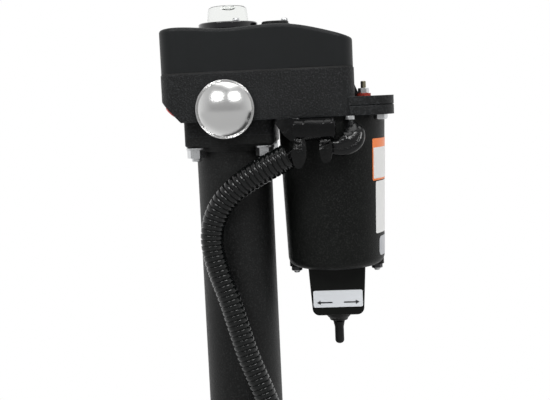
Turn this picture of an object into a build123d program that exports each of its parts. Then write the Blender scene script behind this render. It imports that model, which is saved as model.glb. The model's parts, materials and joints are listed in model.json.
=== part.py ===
from build123d import *
import math
import os

# Electric trailer jack: a gear head on a square-flanged tube, with the motor hung beside the tube.
# Millimetres, +Z up. The origin is the middle of the foot's underside, on the tube's axis.
# +X runs from the tube to the motor, and -Y is the side with the round dust cap.

# Foot and drop leg
foot_length = 150.0
foot_width = 130.0
foot_thickness = 6.0
foot_corner = 16.0
foot_hole_d = 13.0
foot_hole_edge = 18.0
leg_d = 47.0
leg_wall = 3.0
leg_length = 354.0
leg_weld = 5.0
leg_hole_pitch = 40.0
leg_hole_count = 7

# Ram, its nut and its guides
ram_d = 54.0
ram_wall = 3.0
ram_bottom = 60.0
ram_inset = 35.0
nut_height = 24.0
nut_inset = 3.0
guide_height = 20.0
lip_height = 3.0
lower_guide_height = 30.0

# Pin that locks the drop leg in the ram
pin_d = 12.7
pin_height = 85.0
pin_past_ram = 7.0
pin_head_d = 19.0
pin_eye_half = 4.0
pin_head_length = 12.0
pin_ring_d = 36.0
pin_ring_wire = 4.0

# Outer tube and the square flange on top of it
tube_d = 63.5
tube_wall = 3.0
tube_bottom = 110.0
tube_length = 500.0
flange_size = 74.0
flange_thickness = 9.0
flange_corner = 6.0
flange_chamfer = 2.0
weld_leg = 4.0
stud_d = 8.0
stud_spacing = 57.0
stud_engagement = 16.0
stud_past_nut = 3.0
washer_thickness = 1.6
washer_d = 16.0
nut_across = 13.0
nut_thickness = 6.8

# Lift screw, its thrust bearing and bush
screw_d = 22.0
screw_bottom = 150.0
journal_d = 20.0
collar_d = 32.0
collar_height = 6.0
race_d = 35.0
race_thickness = 3.0
ball_d = 4.0
ball_count = 12
bush_wall = 4.0
key_width = 5.0
key_length = 9.0
circlip_thickness = 1.2
circlip_d = 27.0

# Gear housing: a casting with a neck, a side boss and a ledge for the motor
head_left = 53.5
head_right = 104.0
head_width = 100.0
head_corner = 16.0
head_wall = 5.0
neck_height = 12.4
motor_plate_thickness = 8.2
ledge_thickness = 7.0
skirt = 4.6
ledge_right = 135.5
ledge_corner = 18.0
housing_height = 38.6
chamfer_across = 17.0
chamfer_up = 18.0
boss_d = 46.0
boss_height = 22.0
boss_proud = 3.0
port_d = 36.0
port_depth = 12.0
column_d = 12.0
column_inset = 12.0

# Dust cap on the side boss
cap_d = 47.2
cap_dome = 10.0
cap_sheet = 1.2
cap_rim = 1.6
cap_skirt = 9.0

# Cover over the gears
gasket_thickness = 1.2
cover_wall = 4.0
cover_inset = 0.6
cover_left_rise = 36.5
cover_dish_rise = 34.2
cover_crown_rise = 35.7
cover_motor_rise = 28.6
cover_end_rise = 22.2
cover_edge = 3.0
cover_screw_d = 5.0
cover_screw_head_d = 8.5
cover_screw_head = 4.5
cover_screw_sink = 7.0
cover_screw_grip = 14.0

# Round level on the cover
level_pad_rise = 36.3
level_pad_d = 49.0
level_base_d = 50.0
level_base_height = 5.2
level_bevel = 0.8
dome_d = 35.0
dome_top_d = 32.0
dome_height = 16.0
dome_wall = 1.5
dome_shoulder = 3.6
dome_seat = 1.6
small_screw_d = 3.0
small_screw_head_d = 6.0
small_screw_head = 2.4
level_screw_x = 9.0
level_screw_y = 19.5

# Manual override: a hex shaft under a swinging cover plate
override_x = 39.0
override_d = 12.0
override_hex = 8.0
override_pad_rise = 38.7
override_pad_d = 27.0
override_plate_length = 22.8
override_plate_width = 19.0
override_plate_thickness = 2.5
override_pivot_gap = 8.8

# Gear train: motor pinion, intermediate gear and its pinion, gear on the screw
gear_module = 1.5
pressure_angle = 25.0
pinion_teeth = 12
backlash = 0.12
final_width = 12.0
intermediate_width = 10.0
final_hub = 5.0
gear_gap = 2.6
pinion_over = 0.8

# Motor
motor_x = 84.0
motor_d = 90.0
motor_foot_d = 82.0
motor_height = 126.9
motor_wall = 3.0
motor_floor = 4.0
motor_corner = 8.0
plate_edge = 0.9
motor_bolt_x = 40.0
motor_bolt_y = 36.0
motor_bolt_d = 6.0
motor_bolt_head = 4.0
motor_bolt_across = 10.0
through_bolt_x = 34.5
through_bolt_d = 5.0
through_nut_across = 8.0
through_nut_thickness = 4.0
lug_d = 12.0
lug_proud = 1.0
armature_d = 60.0
core_height = 50.0
slot_count = 12
slot_width = 5.0
slot_depth = 10.0
shaft_d = 10.0
bearing_d = 26.0
bearing_height = 7.0
commutator_d = 26.0
commutator_height = 14.0
brush_width = 6.0
brush_height = 8.0
brush_length = 12.0
magnet_angle = 110.0
winding_height = 10.0

# Terminal stud on the ledge
terminal_x = 111.7
terminal_y = -10.0
terminal_d = 4.4
terminal_height = 12.4
terminal_washer_d = 12.0
terminal_washer_thickness = 2.2
terminal_nut_across = 8.0
terminal_nut_thickness = 4.4

# Switch housing under the motor, with its label plate and toggle
switch_top_width = 48.0
switch_foot_width = 43.0
switch_height = 41.0
switch_front = 21.0
switch_depth = 40.0
switch_wall = 2.5
switch_corner = 6.0
label_width = 41.5
label_height = 14.3
label_corner = 1.2
label_thickness = 0.6
label_above_foot = 7.2
toggle_pivot = 5.0
toggle_d = 6.8
toggle_grip_d = 7.8
toggle_reach = 29.0
toggle_swing = 14.0
switch_bush_d = 12.0
switch_bush_drop = 2.6
switch_body_length = 28.0
switch_body_width = 16.0
switch_body_height = 20.0
boot_d = 23.0
boot_tip_d = 16.0
boot_height = 7.4
boot_sleeve_d = 10.0
boot_sleeve_height = 5.0

# Wires and conduit under the head
loom_x = 70.0
loom_length = 34.0
loom_d = 18.0
loom_proud = 9.2
loom_drop = 18.6
loom_end_d = 6.0
inlet_x = 56.0
inlet_inset = 5.0
inlet_d = 5.2
gland_x = 99.2
gland_inset = 3.6
gland_height = 3.0
gland_wall = 0.5
cable_d = 6.6
tail_d = 7.0
conduit_d = 18.6

# Spare conduit and connector on the floor
coil_x = 200.0
coil_y = 10.0
coil_r = 90.0
coil_lead = 62.0
coil_tail_r = 46.0
coil_tail_angle = 90.0
connector_length = 36.0
connector_width = 22.0
connector_height = 17.0

# Red lens on the chamfer
lens_d = 12.6
lens_proud = 3.2
lens_y = -28.0

# Clearances
slip = 0.05
running = 0.1
loose = 0.3

# Levels and places worked out from the sizes above
tube_top = tube_bottom + tube_length
flange_bottom = tube_top - flange_thickness
housing_bottom = tube_top + neck_height
ledge_bottom = housing_bottom + motor_plate_thickness
ledge_width = head_width - 2 * skirt
floor_top = ledge_bottom + ledge_thickness
housing_top = housing_bottom + housing_height
cover_bottom = housing_top + gasket_thickness
axis_z = tube_top + boss_height
leg_r = leg_d / 2
ram_r = ram_d / 2
tube_r = tube_d / 2
ram_top = tube_bottom + tube_length - ram_inset
neck_half = flange_size / 2
plate_left = neck_half + 2 * loose
intermediate_teeth = round(2 * (motor_x - override_x) / gear_module) - pinion_teeth
final_teeth = round(2 * override_x / gear_module) - pinion_teeth
final_bottom = floor_top + final_hub + running
final_top = final_bottom + final_width
screw_top = final_top + circlip_thickness + 3 * running
intermediate_bottom = final_top + gear_gap
intermediate_top = intermediate_bottom + intermediate_width
motor_bottom = housing_bottom - motor_height
switch_bottom = motor_bottom - switch_height
boss_face = -head_width / 2 - boss_proud
loom_y = -head_width / 2 - loom_proud
inlet_y = -head_width / 2 + inlet_inset
gland_y = -head_width / 2 + gland_inset
column_x = (-head_left + column_inset, head_right - column_inset)
column_y = head_width / 2 - column_inset

os.makedirs("parts", exist_ok=True)


def save(name, *solids):
    found = [s for shape in solids for s in shape.solids()]
    export_step(found[0] if len(found) == 1 else Compound(children=found), f"parts/{name}.step")


def rod(d, bottom, top, x=0.0, y=0.0):
    return Pos(x, y, (bottom + top) / 2) * Cylinder(d / 2, top - bottom)


def ring(outer_d, inner_d, bottom, top, x=0.0, y=0.0):
    return rod(outer_d, bottom, top, x, y) - rod(inner_d, bottom - 1, top + 1, x, y)


def cross_rod(d, start, end, x=0.0, z=0.0):
    return Pos(x, (start + end) / 2, z) * Rot(90, 0, 0) * Cylinder(d / 2, end - start)


def long_rod(d, start, end, y=0.0, z=0.0):
    return Pos((start + end) / 2, y, z) * Rot(0, 90, 0) * Cylinder(d / 2, end - start)


def block(x0, x1, y0, y1, z0, z1):
    return Pos((x0 + x1) / 2, (y0 + y1) / 2, (z0 + z1) / 2) * Box(x1 - x0, y1 - y0, z1 - z0)


def slab(x0, x1, width, corner, bottom, top, y=0.0):
    outline = Pos((x0 + x1) / 2, y, bottom) * RectangleRounded(x1 - x0, width, corner)
    return extrude(outline, top - bottom)


def hexagon(across, bottom, top, x=0.0, y=0.0, turn=0.0):
    outline = Pos(x, y, bottom) * RegularPolygon(across / 2, 6, major_radius=False, rotation=turn)
    return extrude(outline, top - bottom)


def rims(shape):
    """Circular edges from the lowest to the highest."""
    return shape.edges().filter_by(GeomType.CIRCLE).sort_by(Axis.Z)


def at_corners(dx, dy, x=0.0):
    return [(x + sx * dx, sy * dy) for sx in (-1, 1) for sy in (-1, 1)]


def flank(teeth, side, angle, outer_r):
    """Points of one tooth flank from root to tip, on one side of the tooth's middle."""
    pitch_r = gear_module * teeth / 2
    base_r = pitch_r * math.cos(math.radians(pressure_angle))
    root_r = pitch_r - 1.25 * gear_module
    at_pitch = math.tan(math.radians(pressure_angle)) - math.radians(pressure_angle)
    half = math.pi / (2 * teeth) - backlash / (2 * pitch_r) + at_pitch
    low = max(base_r, root_r)
    points = []
    for i in range(4):
        r = low + (outer_r - low) * i / 3
        a = math.acos(min(1.0, base_r / r))
        spread = half - (math.tan(a) - a)
        points.append((r * math.cos(angle + side * spread), r * math.sin(angle + side * spread)))
    if root_r < base_r:
        root = (root_r * math.cos(angle + side * half), root_r * math.sin(angle + side * half))
        points.insert(0, root)
    return points


def gear(teeth, width, bottom, x=0.0, turn=0.0):
    """Spur gear with involute teeth; turn is the angle of one tooth's middle, in degrees."""
    outer_r = gear_module * (teeth / 2 + 1)
    edges = []
    last = None
    first = None
    for k in range(teeth):
        angle = math.radians(turn) + 2 * math.pi * k / teeth
        rise = flank(teeth, -1, angle, outer_r)
        fall = list(reversed(flank(teeth, 1, angle, outer_r)))
        if last:
            edges.append(Line(last, rise[0]))
        else:
            first = rise[0]
        if len(rise) == 5:
            edges.append(Line(rise[0], rise[1]))
            edges.append(Spline(*rise[1:]))
            edges.append(Line(rise[-1], fall[0]))
            edges.append(Spline(*fall[:-1]))
            edges.append(Line(fall[-2], fall[-1]))
        else:
            edges.append(Spline(*rise))
            edges.append(Line(rise[-1], fall[0]))
            edges.append(Spline(*fall))
        last = fall[-1]
    edges.append(Line(last, first))
    return extrude(Pos(x, 0, bottom) * make_face(Curve(edges)), width)


# Foot plate with four bolt holes
foot = slab(-foot_length / 2, foot_length / 2, foot_width, foot_corner, 0, foot_thickness)
foot = chamfer(foot.faces().sort_by(Axis.Z)[-1].outer_wire().edges(), 1.5)
foot_hole_x = foot_length / 2 - foot_hole_edge
foot_hole_y = foot_width / 2 - foot_hole_edge
for px, py in at_corners(foot_hole_x, foot_hole_y):
    foot -= rod(foot_hole_d, -1, foot_thickness + 1, px, py)
save("foot_plate", foot)

# Drop leg with its weld bead and its row of pin holes
leg_top = foot_thickness + leg_length
leg = rod(leg_d, foot_thickness, leg_top)
leg += Pos(0, 0, foot_thickness + leg_weld / 2) * Cone(leg_r + leg_weld, leg_r, leg_weld)
leg -= rod(leg_d - 2 * leg_wall, foot_thickness - 1, leg_top + 1)
for k in range(leg_hole_count):
    leg -= long_rod(pin_d + 2 * running, -leg_d, leg_d, z=pin_height + k * leg_hole_pitch)
save("drop_leg", leg)

# Ram tube with the pin hole near its lower end
ram = ring(ram_d, ram_d - 2 * ram_wall, ram_bottom, ram_top)
ram -= long_rod(pin_d + 2 * running, -ram_d, ram_d, z=pin_height)
save("ram_tube", ram)

# Nut in the ram's upper end, running on the screw
nut_top = ram_top - nut_inset
ram_bore = ram_d - 2 * ram_wall
save("ram_nut", ring(ram_bore - slip, screw_d + 2 * slip, nut_top - nut_height, nut_top))

# Guide ring round the ram's upper end, sliding in the outer tube
tube_bore = tube_d - 2 * tube_wall
save("ram_guide", ring(tube_bore - 2 * running, ram_d + slip, nut_top - guide_height, nut_top))

# Lock pin with a flat eye on its head, and the pull ring through the eye
pin_end = -ram_r - pin_past_ram
pin = long_rod(pin_d, pin_end, ram_r + pin_past_ram, z=pin_height)
pin_head = long_rod(pin_head_d, pin_end - pin_head_length / 2, pin_end, z=pin_height)
pin += chamfer(pin_head.edges().filter_by(GeomType.CIRCLE), 1.2)
eye_end = pin_end - 1.5 * pin_head_length
eye_half = pin_head_d / 2 - 2
pin += block(
    eye_end, pin_end, -pin_eye_half, pin_eye_half, pin_height - eye_half, pin_height + eye_half
)
pin_tip = Rot(0, 90, 0) * Cone(pin_d / 2, pin_d / 3, 3)
pin += Pos(ram_r + pin_past_ram + 1.5, 0, pin_height) * pin_tip
ring_x = eye_end + pin_ring_wire
pin -= cross_rod(pin_ring_wire + 4 * loose, -pin_head_d, pin_head_d, ring_x, pin_height)
save("foot_pin", pin)
ring_mid_r = (pin_ring_d - pin_ring_wire) / 2
save("pin_ring", Pos(ring_x - ring_mid_r, 0, pin_height) * Torus(ring_mid_r, pin_ring_wire / 2))

# Outer tube, and the bush with a lip that closes its lower end
save("outer_tube", ring(tube_d, tube_bore, tube_bottom, tube_top))
lower = ring(tube_bore - slip, ram_d + 2 * running, tube_bottom, tube_bottom + lower_guide_height)
lower += ring(tube_d, ram_d + 2 * running, tube_bottom - lip_height, tube_bottom)
save("lower_guide", lower)

# Square flange with its weld bead under it
stud_half = stud_spacing / 2
flange = slab(-neck_half, neck_half, flange_size, flange_corner, flange_bottom, tube_top)
flange = chamfer(flange.faces().sort_by(Axis.Z)[0].outer_wire().edges(), flange_chamfer)
bead_place = Pos(0, 0, flange_bottom - weld_leg / 2)
bead = bead_place * Cone(tube_r + 0.2, tube_r + 0.7 * weld_leg, weld_leg)
for px, py in at_corners(stud_half, stud_half):
    bead -= rod(washer_d + 2 * loose, flange_bottom - weld_leg - 1, flange_bottom, px, py)
flange += bead
flange -= rod(tube_d + slip, flange_bottom - weld_leg - 1, tube_top + 1)
for px, py in at_corners(stud_half, stud_half):
    flange -= rod(stud_d + 1, flange_bottom - 1, tube_top + 1, px, py)
save("top_flange", flange)

# Studs, washers and nuts that hold the flange to the neck
washer_bottom = flange_bottom - washer_thickness
stud_bottom = washer_bottom - nut_thickness - stud_past_nut
stud_top = tube_top + stud_engagement
studs = []
washers = []
nuts = []
for px, py in at_corners(stud_half, stud_half):
    stud = rod(stud_d, stud_bottom, stud_top, px, py)
    studs.append(chamfer(rims(stud), 0.6))
    washers.append(ring(washer_d, stud_d + 0.6, washer_bottom, flange_bottom, px, py))
    nut = hexagon(nut_across, washer_bottom - nut_thickness, washer_bottom, px, py)
    nut &= Pos(px, py, washer_bottom - nut_thickness / 2) * Sphere(nut_across * 0.62)
    nuts.append(nut - rod(stud_d + slip, stud_bottom - 1, tube_top, px, py))
save("flange_studs", *studs)
save("flange_washers", *washers)
save("flange_nuts", *nuts)

# Lift screw: thread rod, collar, journal, keyway and circlip groove
collar_bottom = tube_top - collar_height
thread = rod(screw_d, screw_bottom, collar_bottom)
screw = chamfer(rims(thread)[0], 2) + rod(collar_d, collar_bottom, tube_top)
screw += rod(journal_d, tube_top, screw_top)
key_bottom = final_bottom + 1.5
key_top = key_bottom + key_length
key_side = journal_d / 2 - key_width / 2
key_outer = journal_d / 2 + key_width / 2
key_half = key_width / 2
screw -= block(key_side, journal_d, -key_half, key_half, key_bottom, key_top)
clip_bottom = final_top + running
screw -= ring(
    journal_d + 2, journal_d - 2, clip_bottom, clip_bottom + circlip_thickness + slip
)
save("lift_screw", screw)
key = block(key_side, key_outer, -key_half, key_half, key_bottom, key_top)
save("gear_key", key & block(0, key_outer - slip, slip - key_half, key_half - slip, 0, key_top - slip))
clip = ring(circlip_d, journal_d - 1.6, clip_bottom + slip / 2, clip_bottom + circlip_thickness)
clip -= block(-circlip_d, 0, -3, 3, clip_bottom - 1, clip_bottom + circlip_thickness + 1)
save("screw_circlip", clip)

# Thrust bearing between the collar and the neck
race_bore = journal_d + 2 * running
lower_race_top = tube_top + race_thickness
upper_race_top = tube_top + 2 * race_thickness + ball_d
upper_race_bottom = upper_race_top - race_thickness
save("thrust_race_lower", ring(race_d, race_bore, tube_top, lower_race_top))
save("thrust_race_upper", ring(race_d, race_bore, upper_race_bottom, upper_race_top))
ball_circle = (race_d + race_bore) / 4
balls = []
for k in range(ball_count):
    a = 2 * math.pi * k / ball_count
    spot = Pos(ball_circle * math.cos(a), ball_circle * math.sin(a), lower_race_top + ball_d / 2)
    balls.append(spot * Sphere(ball_d / 2))
save("thrust_balls", *balls)
bush_d = journal_d + 2 * bush_wall

# Gear on the screw, in mesh at rest
final = gear(final_teeth, final_width, final_bottom, turn=0)
final += rod(journal_d + 14, floor_top + running, final_bottom)
final -= rod(journal_d + slip, floor_top - 1, final_top + 1)
final -= block(0, key_outer, -key_half, key_half, floor_top - 1, final_top + 1)
for k in range(6):
    a = math.radians(60 * k + 30)
    web_r = (gear_module * final_teeth / 2 + journal_d / 2 + 7) / 2 - 0.5
    final -= rod(7, floor_top, final_top + 1, web_r * math.cos(a), web_r * math.sin(a))
save("final_gear", final)

# Override shaft: lower journal, pinion, gear seat, upper journal and hex end
bush_seat = floor_top + 3
journal_bottom = floor_top - 4
pinion_bottom = final_bottom - pinion_over
pinion_top = final_top + pinion_over
pinion_turn = 180 + 180 / pinion_teeth
level_z = cover_bottom + override_pad_rise
hex_bottom = level_z - 10
shaft = rod(override_d, journal_bottom, pinion_bottom, override_x)
shaft += gear(pinion_teeth, pinion_top - pinion_bottom, pinion_bottom, override_x, pinion_turn)
shaft += rod(override_d + 4, pinion_top, intermediate_bottom, override_x)
shaft += rod(override_d, intermediate_bottom, hex_bottom, override_x)
shaft += hexagon(override_hex, hex_bottom, level_z - 1.5, override_x)
save("override_shaft", shaft)
intermediate = gear(intermediate_teeth, intermediate_width, intermediate_bottom, override_x, 0)
intermediate += rod(26, intermediate_top, intermediate_top + 4, override_x)
intermediate -= rod(override_d + slip, intermediate_bottom - 1, intermediate_top + 5, override_x)
for k in range(6):
    a = math.radians(60 * k)
    px = override_x + 23 * math.cos(a)
    intermediate -= rod(12, intermediate_bottom - 1, intermediate_top + 1, px, 23 * math.sin(a))
save("intermediate_gear", intermediate)
shaft_bush_d = override_d + 5
upper_bush_bottom = level_z - 18
shaft_bore = override_d + 2 * slip
save(
    "head_bushes",
    ring(bush_d - slip, journal_d + slip, upper_race_top, floor_top),
    ring(shaft_bush_d - slip, shaft_bore, journal_bottom, bush_seat, override_x),
    ring(shaft_bush_d - slip, shaft_bore, upper_bush_bottom, hex_bottom, override_x),
)
motor_gear_height = intermediate_width + 2
motor_gear_bottom = intermediate_bottom - 1
motor_gear = gear(pinion_teeth, motor_gear_height, motor_gear_bottom, motor_x, pinion_turn)
motor_gear -= rod(shaft_d + slip, intermediate_bottom - 2, intermediate_top + 2, motor_x)
save("motor_pinion", motor_gear)


# Gear housing
def head_plan(inset, bottom, top):
    """Rounded block of the head's plan, drawn in by inset."""
    left = -head_left + inset
    right = head_right - inset
    return slab(left, right, head_width - 2 * inset, head_corner - inset, bottom, top)


def motor_plan(left, width, bottom, top):
    """Plan of the motor's plate and the ledge over it: straight at the neck, rounded at the far end."""
    plan = slab(left - 2 * ledge_corner, ledge_right, width, ledge_corner, bottom, top)
    return plan & block(left, ledge_right + 1, -head_width, head_width, bottom, top)


def head_columns():
    return [(cx, cy) for cx in column_x for cy in (-column_y, column_y)]


housing = head_plan(0, housing_bottom, housing_top)
under_ledge = (-ledge_width / 2, ledge_width / 2, housing_bottom - 1, ledge_bottom)
housing -= block(neck_half, head_right + 1, *under_ledge)
wedge = Polyline(
    (-head_left - 1, housing_bottom - 1),
    (-head_left + chamfer_across, housing_bottom - 1),
    (-head_left + chamfer_across, housing_bottom),
    (-head_left, housing_bottom + chamfer_up),
    (-head_left - 1, housing_bottom + chamfer_up),
    close=True,
)
housing -= extrude(Plane.XZ * make_face(wedge), head_width, both=True)
housing += motor_plan(neck_half, ledge_width, ledge_bottom, floor_top)
housing += slab(-neck_half, neck_half, flange_size, flange_corner, tube_top, housing_bottom)
housing += cross_rod(boss_d, boss_face, -neck_half, z=axis_z)
housing -= head_plan(head_wall, floor_top, housing_top + 1)
for cx, cy in head_columns():
    housing += rod(column_d, floor_top, housing_top, cx, cy)
housing += rod(shaft_bush_d + 7, floor_top, bush_seat - running, override_x)
rib = Polyline(
    (head_right - 1, floor_top),
    (head_right + 5, floor_top),
    (head_right - 1, floor_top + 14),
    close=True,
)
housing += Pos(0, 5, 0) * extrude(Plane.XZ * make_face(rib), 2, both=True)
housing -= cross_rod(port_d, boss_face - 1, boss_face + port_depth, z=axis_z)
housing -= rod(race_d + 2 * slip, tube_top - 1, upper_race_top)
housing -= rod(bush_d, upper_race_top - 1, floor_top + 1)
housing -= rod(shaft_bush_d, journal_bottom, floor_top + 4, override_x)
housing -= rod(shaft_d + 14, ledge_bottom - 1, floor_top + 1, motor_x)
for px, py in at_corners(stud_half, stud_half):
    housing -= rod(stud_d + slip, tube_top - 1, stud_top, px, py)
for px, py in at_corners(motor_bolt_x, motor_bolt_y, motor_x):
    housing -= rod(motor_bolt_d + slip, ledge_bottom - 1, floor_top - 1.5, px, py)
housing -= rod(terminal_d + slip, ledge_bottom + 2, floor_top + 1, terminal_x, terminal_y)
for cx, cy in head_columns():
    housing -= rod(cover_screw_d + slip, housing_top - cover_screw_grip, housing_top + 1, cx, cy)
save("gear_housing", housing)

# Gasket between housing and cover
gasket = head_plan(cover_inset, housing_top, cover_bottom)
gasket -= head_plan(head_wall, housing_top - 1, cover_bottom + 1)
for cx, cy in head_columns():
    gasket += rod(column_d, housing_top, cover_bottom, cx, cy)
    gasket -= rod(cover_screw_d + 1, housing_top - 1, cover_bottom + 1, cx, cy)
save("head_gasket", gasket)


# Cover: the front profile carried across the width, trimmed to the head's plan
def cover_block(inset, drop, corner):
    """Solid under the cover's top, drawn in by inset at the sides and by drop at the top."""
    left = -head_left + cover_inset + inset
    right = head_right - cover_inset - inset
    low = cover_bottom
    crest = [
        (left - 20, low + cover_left_rise - 7 - drop),
        (left, low + cover_left_rise - 1.2 - drop),
        (left + 14, low + cover_left_rise - drop),
        (0, low + cover_dish_rise - drop),
        (override_x + 9, low + cover_crown_rise - drop),
        (motor_x, low + cover_motor_rise - drop),
        (right, low + cover_end_rise - drop),
        (right + 20, low + cover_end_rise - 11 - drop),
    ]
    start = (crest[0][0], low)
    end = (crest[-1][0], low)
    outline = Curve([Line(start, crest[0]), Spline(*crest), Line(crest[-1], end), Line(end, start)])
    front_view = Pos(0, head_width, 0) * (Plane.XZ * make_face(outline))
    body = extrude(front_view, 2 * head_width)
    body &= head_plan(cover_inset + inset, low - 1, low + 2 * cover_left_rise)
    if corner:
        top = body.faces().sort_by(Axis.Z)[-1]
        body = fillet(top.outer_wire().edges(), corner)
    return body


level_seat = cover_bottom + level_pad_rise
cover = cover_block(0, 0, cover_edge)
cover -= cover_block(cover_wall, cover_wall, 0)
cover += rod(level_pad_d, cover_bottom + cover_dish_rise - 3, level_seat)
pad_bottom = cover_bottom + cover_dish_rise - cover_wall - 6
cover += rod(override_pad_d, pad_bottom, level_z, override_x)
screw_seats = []
for cx, rise in zip(column_x, (cover_left_rise, cover_end_rise)):
    seat = cover_bottom + rise - cover_screw_sink - 2
    for cy in (-column_y, column_y):
        screw_seats.append((cx, cy, seat))
        cover += rod(column_d, cover_bottom, seat + 1, cx, cy) & cover_block(0, 1, 0)
        cover -= rod(cover_screw_d + 0.5, cover_bottom - 1, seat + 1, cx, cy)
        cover -= rod(cover_screw_head_d + 1, seat, seat + 30, cx, cy)
cover -= rod(shaft_bush_d, pad_bottom - 1, hex_bottom, override_x)
cover -= rod(override_hex * 1.3, hex_bottom - 1, level_z + 1, override_x)
pivot_x = override_x + override_pivot_gap
cover -= rod(small_screw_d + slip, level_z - 8, level_z + 1, pivot_x)
for sy in (-level_screw_y, level_screw_y):
    cover -= rod(small_screw_d + slip, level_seat - 5, level_seat + 1, level_screw_x, sy)
save("head_cover", cover)

# Cover screws: socket heads sunk in the cover's corners
cover_screws = []
for cx, cy, seat in screw_seats:
    bolt = rod(cover_screw_d, housing_top - cover_screw_grip + 1, seat, cx, cy)
    bolt += rod(cover_screw_head_d, seat, seat + cover_screw_head, cx, cy)
    head_top = seat + cover_screw_head
    bolt -= hexagon(4, head_top - 2.5, head_top + 1, cx, cy)
    cover_screws.append(bolt)
save("cover_screws", *cover_screws)

# Round level: base and clear dome
base_top = level_seat + level_base_height
base = rod(level_base_d, level_seat, base_top)
base = chamfer(rims(base)[-1], level_bevel)
base -= rod(dome_d + slip, base_top - dome_seat, base_top + 1)
for sy in (-level_screw_y, level_screw_y):
    base -= rod(small_screw_d + slip, level_seat - 1, base_top + 1, level_screw_x, sy)
save("level_base", base)
dome_bottom = base_top - dome_seat
dome = Cone(dome_d / 2, dome_top_d / 2, dome_height)
dome = Pos(0, 0, dome_bottom + dome_height / 2) * fillet(rims(dome)[-1], dome_shoulder)
hollow_height = dome_height - dome_wall
hollow = Cone(dome_d / 2 - dome_wall, dome_top_d / 2 - dome_wall, hollow_height)
hollow = fillet(rims(hollow)[-1], dome_shoulder - dome_wall)
save("level_dome", dome - Pos(0, 0, dome_bottom + hollow_height / 2) * hollow)


def cross_screw(x, y, seat, reach):
    """Pan-head screw with a cross recess."""
    top = seat + small_screw_head
    head = fillet(rims(rod(small_screw_head_d, seat, top, x, y))[-1], small_screw_head * 0.6)
    for turn in (0, 90):
        head -= Pos(x, y, top) * Rot(0, 0, turn) * Box(small_screw_head_d * 0.6, 0.9, 2.4)
    return head + rod(small_screw_d, seat - reach, seat, x, y)


plate_seat = level_z + override_plate_thickness
level_screw_reach = level_base_height + 4
save(
    "trim_screws",
    cross_screw(level_screw_x, -level_screw_y, base_top, level_screw_reach),
    cross_screw(level_screw_x, level_screw_y, base_top, level_screw_reach),
    cross_screw(pivot_x, 0, plate_seat + slip, override_plate_thickness + 6),
)

# Override cover plate, swinging on its screw
plate = Pos(override_x + 0.8, 0, level_z) * SlotOverall(override_plate_length, override_plate_width)
plate = extrude(plate, override_plate_thickness)
plate = chamfer(plate.edges().group_by(Axis.Z)[-1], 0.8)
plate -= rod(small_screw_d + 2 * running, level_z - 1, plate_seat + 1, pivot_x)
save("override_cover", plate)

# Dust cap: domed disc with a rolled rim and a skirt pressed into the port
dome_edge_r = cap_d / 2 - cap_rim
cap_ball_r = (dome_edge_r**2 + cap_dome**2) / (2 * cap_dome)
cap_ball_z = cap_rim + cap_dome - cap_ball_r
cap = Pos(0, 0, cap_ball_z) * Sphere(cap_ball_r) & rod(2 * dome_edge_r, 0, 2 * cap_d)
cap -= Pos(0, 0, cap_ball_z) * Sphere(cap_ball_r - cap_sheet)
rim_disc = ring(cap_d, port_d - 2 * cap_sheet, 0, cap_rim)
cap += fillet(rims(rim_disc).group_by(SortBy.LENGTH)[-1], cap_rim * 0.45)
cap += ring(port_d - slip, port_d - 2 * cap_sheet, -cap_skirt, 1)
save("side_cap", Pos(0, boss_face, axis_z) * Rot(90, 0, 0) * cap)

# Red lens on the chamfer of the casting
slope = math.degrees(math.atan2(chamfer_up, chamfer_across))
lens_x = -head_left + chamfer_across * 0.42
lens_z = housing_bottom + chamfer_up * 0.58
lens = fillet(rims(Cylinder(lens_d / 2, lens_proud))[-1], lens_proud * 0.8)
lens_turn = Rot(0, slope - 180, 0)
save("red_lens", Pos(lens_x, lens_y, lens_z) * lens_turn * Pos(0, 0, lens_proud / 2) * lens)

# Motor end plate under the ledge, with its bearing pocket
end_plate = motor_plan(plate_left, ledge_width - 2 * running, housing_bottom, ledge_bottom)
plate_rim = end_plate.faces().sort_by(Axis.Z)[-1].outer_wire().edges()
end_plate = chamfer(plate_rim, plate_edge)
pocket_top = housing_bottom + bearing_height
end_plate -= rod(bearing_d + slip, housing_bottom - 1, pocket_top, motor_x)
end_plate -= rod(shaft_d + 4, housing_bottom, ledge_bottom + 1, motor_x)
for px, py in at_corners(motor_bolt_x, motor_bolt_y, motor_x):
    end_plate -= rod(motor_bolt_d + 0.6, housing_bottom - 1, ledge_bottom + 1, px, py)
through_top = housing_bottom + 6
for sx in (-through_bolt_x, through_bolt_x):
    end_plate -= rod(through_bolt_d + slip, housing_bottom - 1, through_top, motor_x + sx)
save("motor_end_plate", end_plate)
plate_bolts = []
for px, py in at_corners(motor_bolt_x, motor_bolt_y, motor_x):
    bolt = hexagon(motor_bolt_across, housing_bottom - motor_bolt_head, housing_bottom, px, py)
    bolt &= Pos(px, py, housing_bottom) * Sphere(motor_bolt_across * 0.63)
    plate_bolts.append(bolt + rod(motor_bolt_d, housing_bottom, floor_top - 2, px, py))
save("motor_bolts", *plate_bolts)

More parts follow.
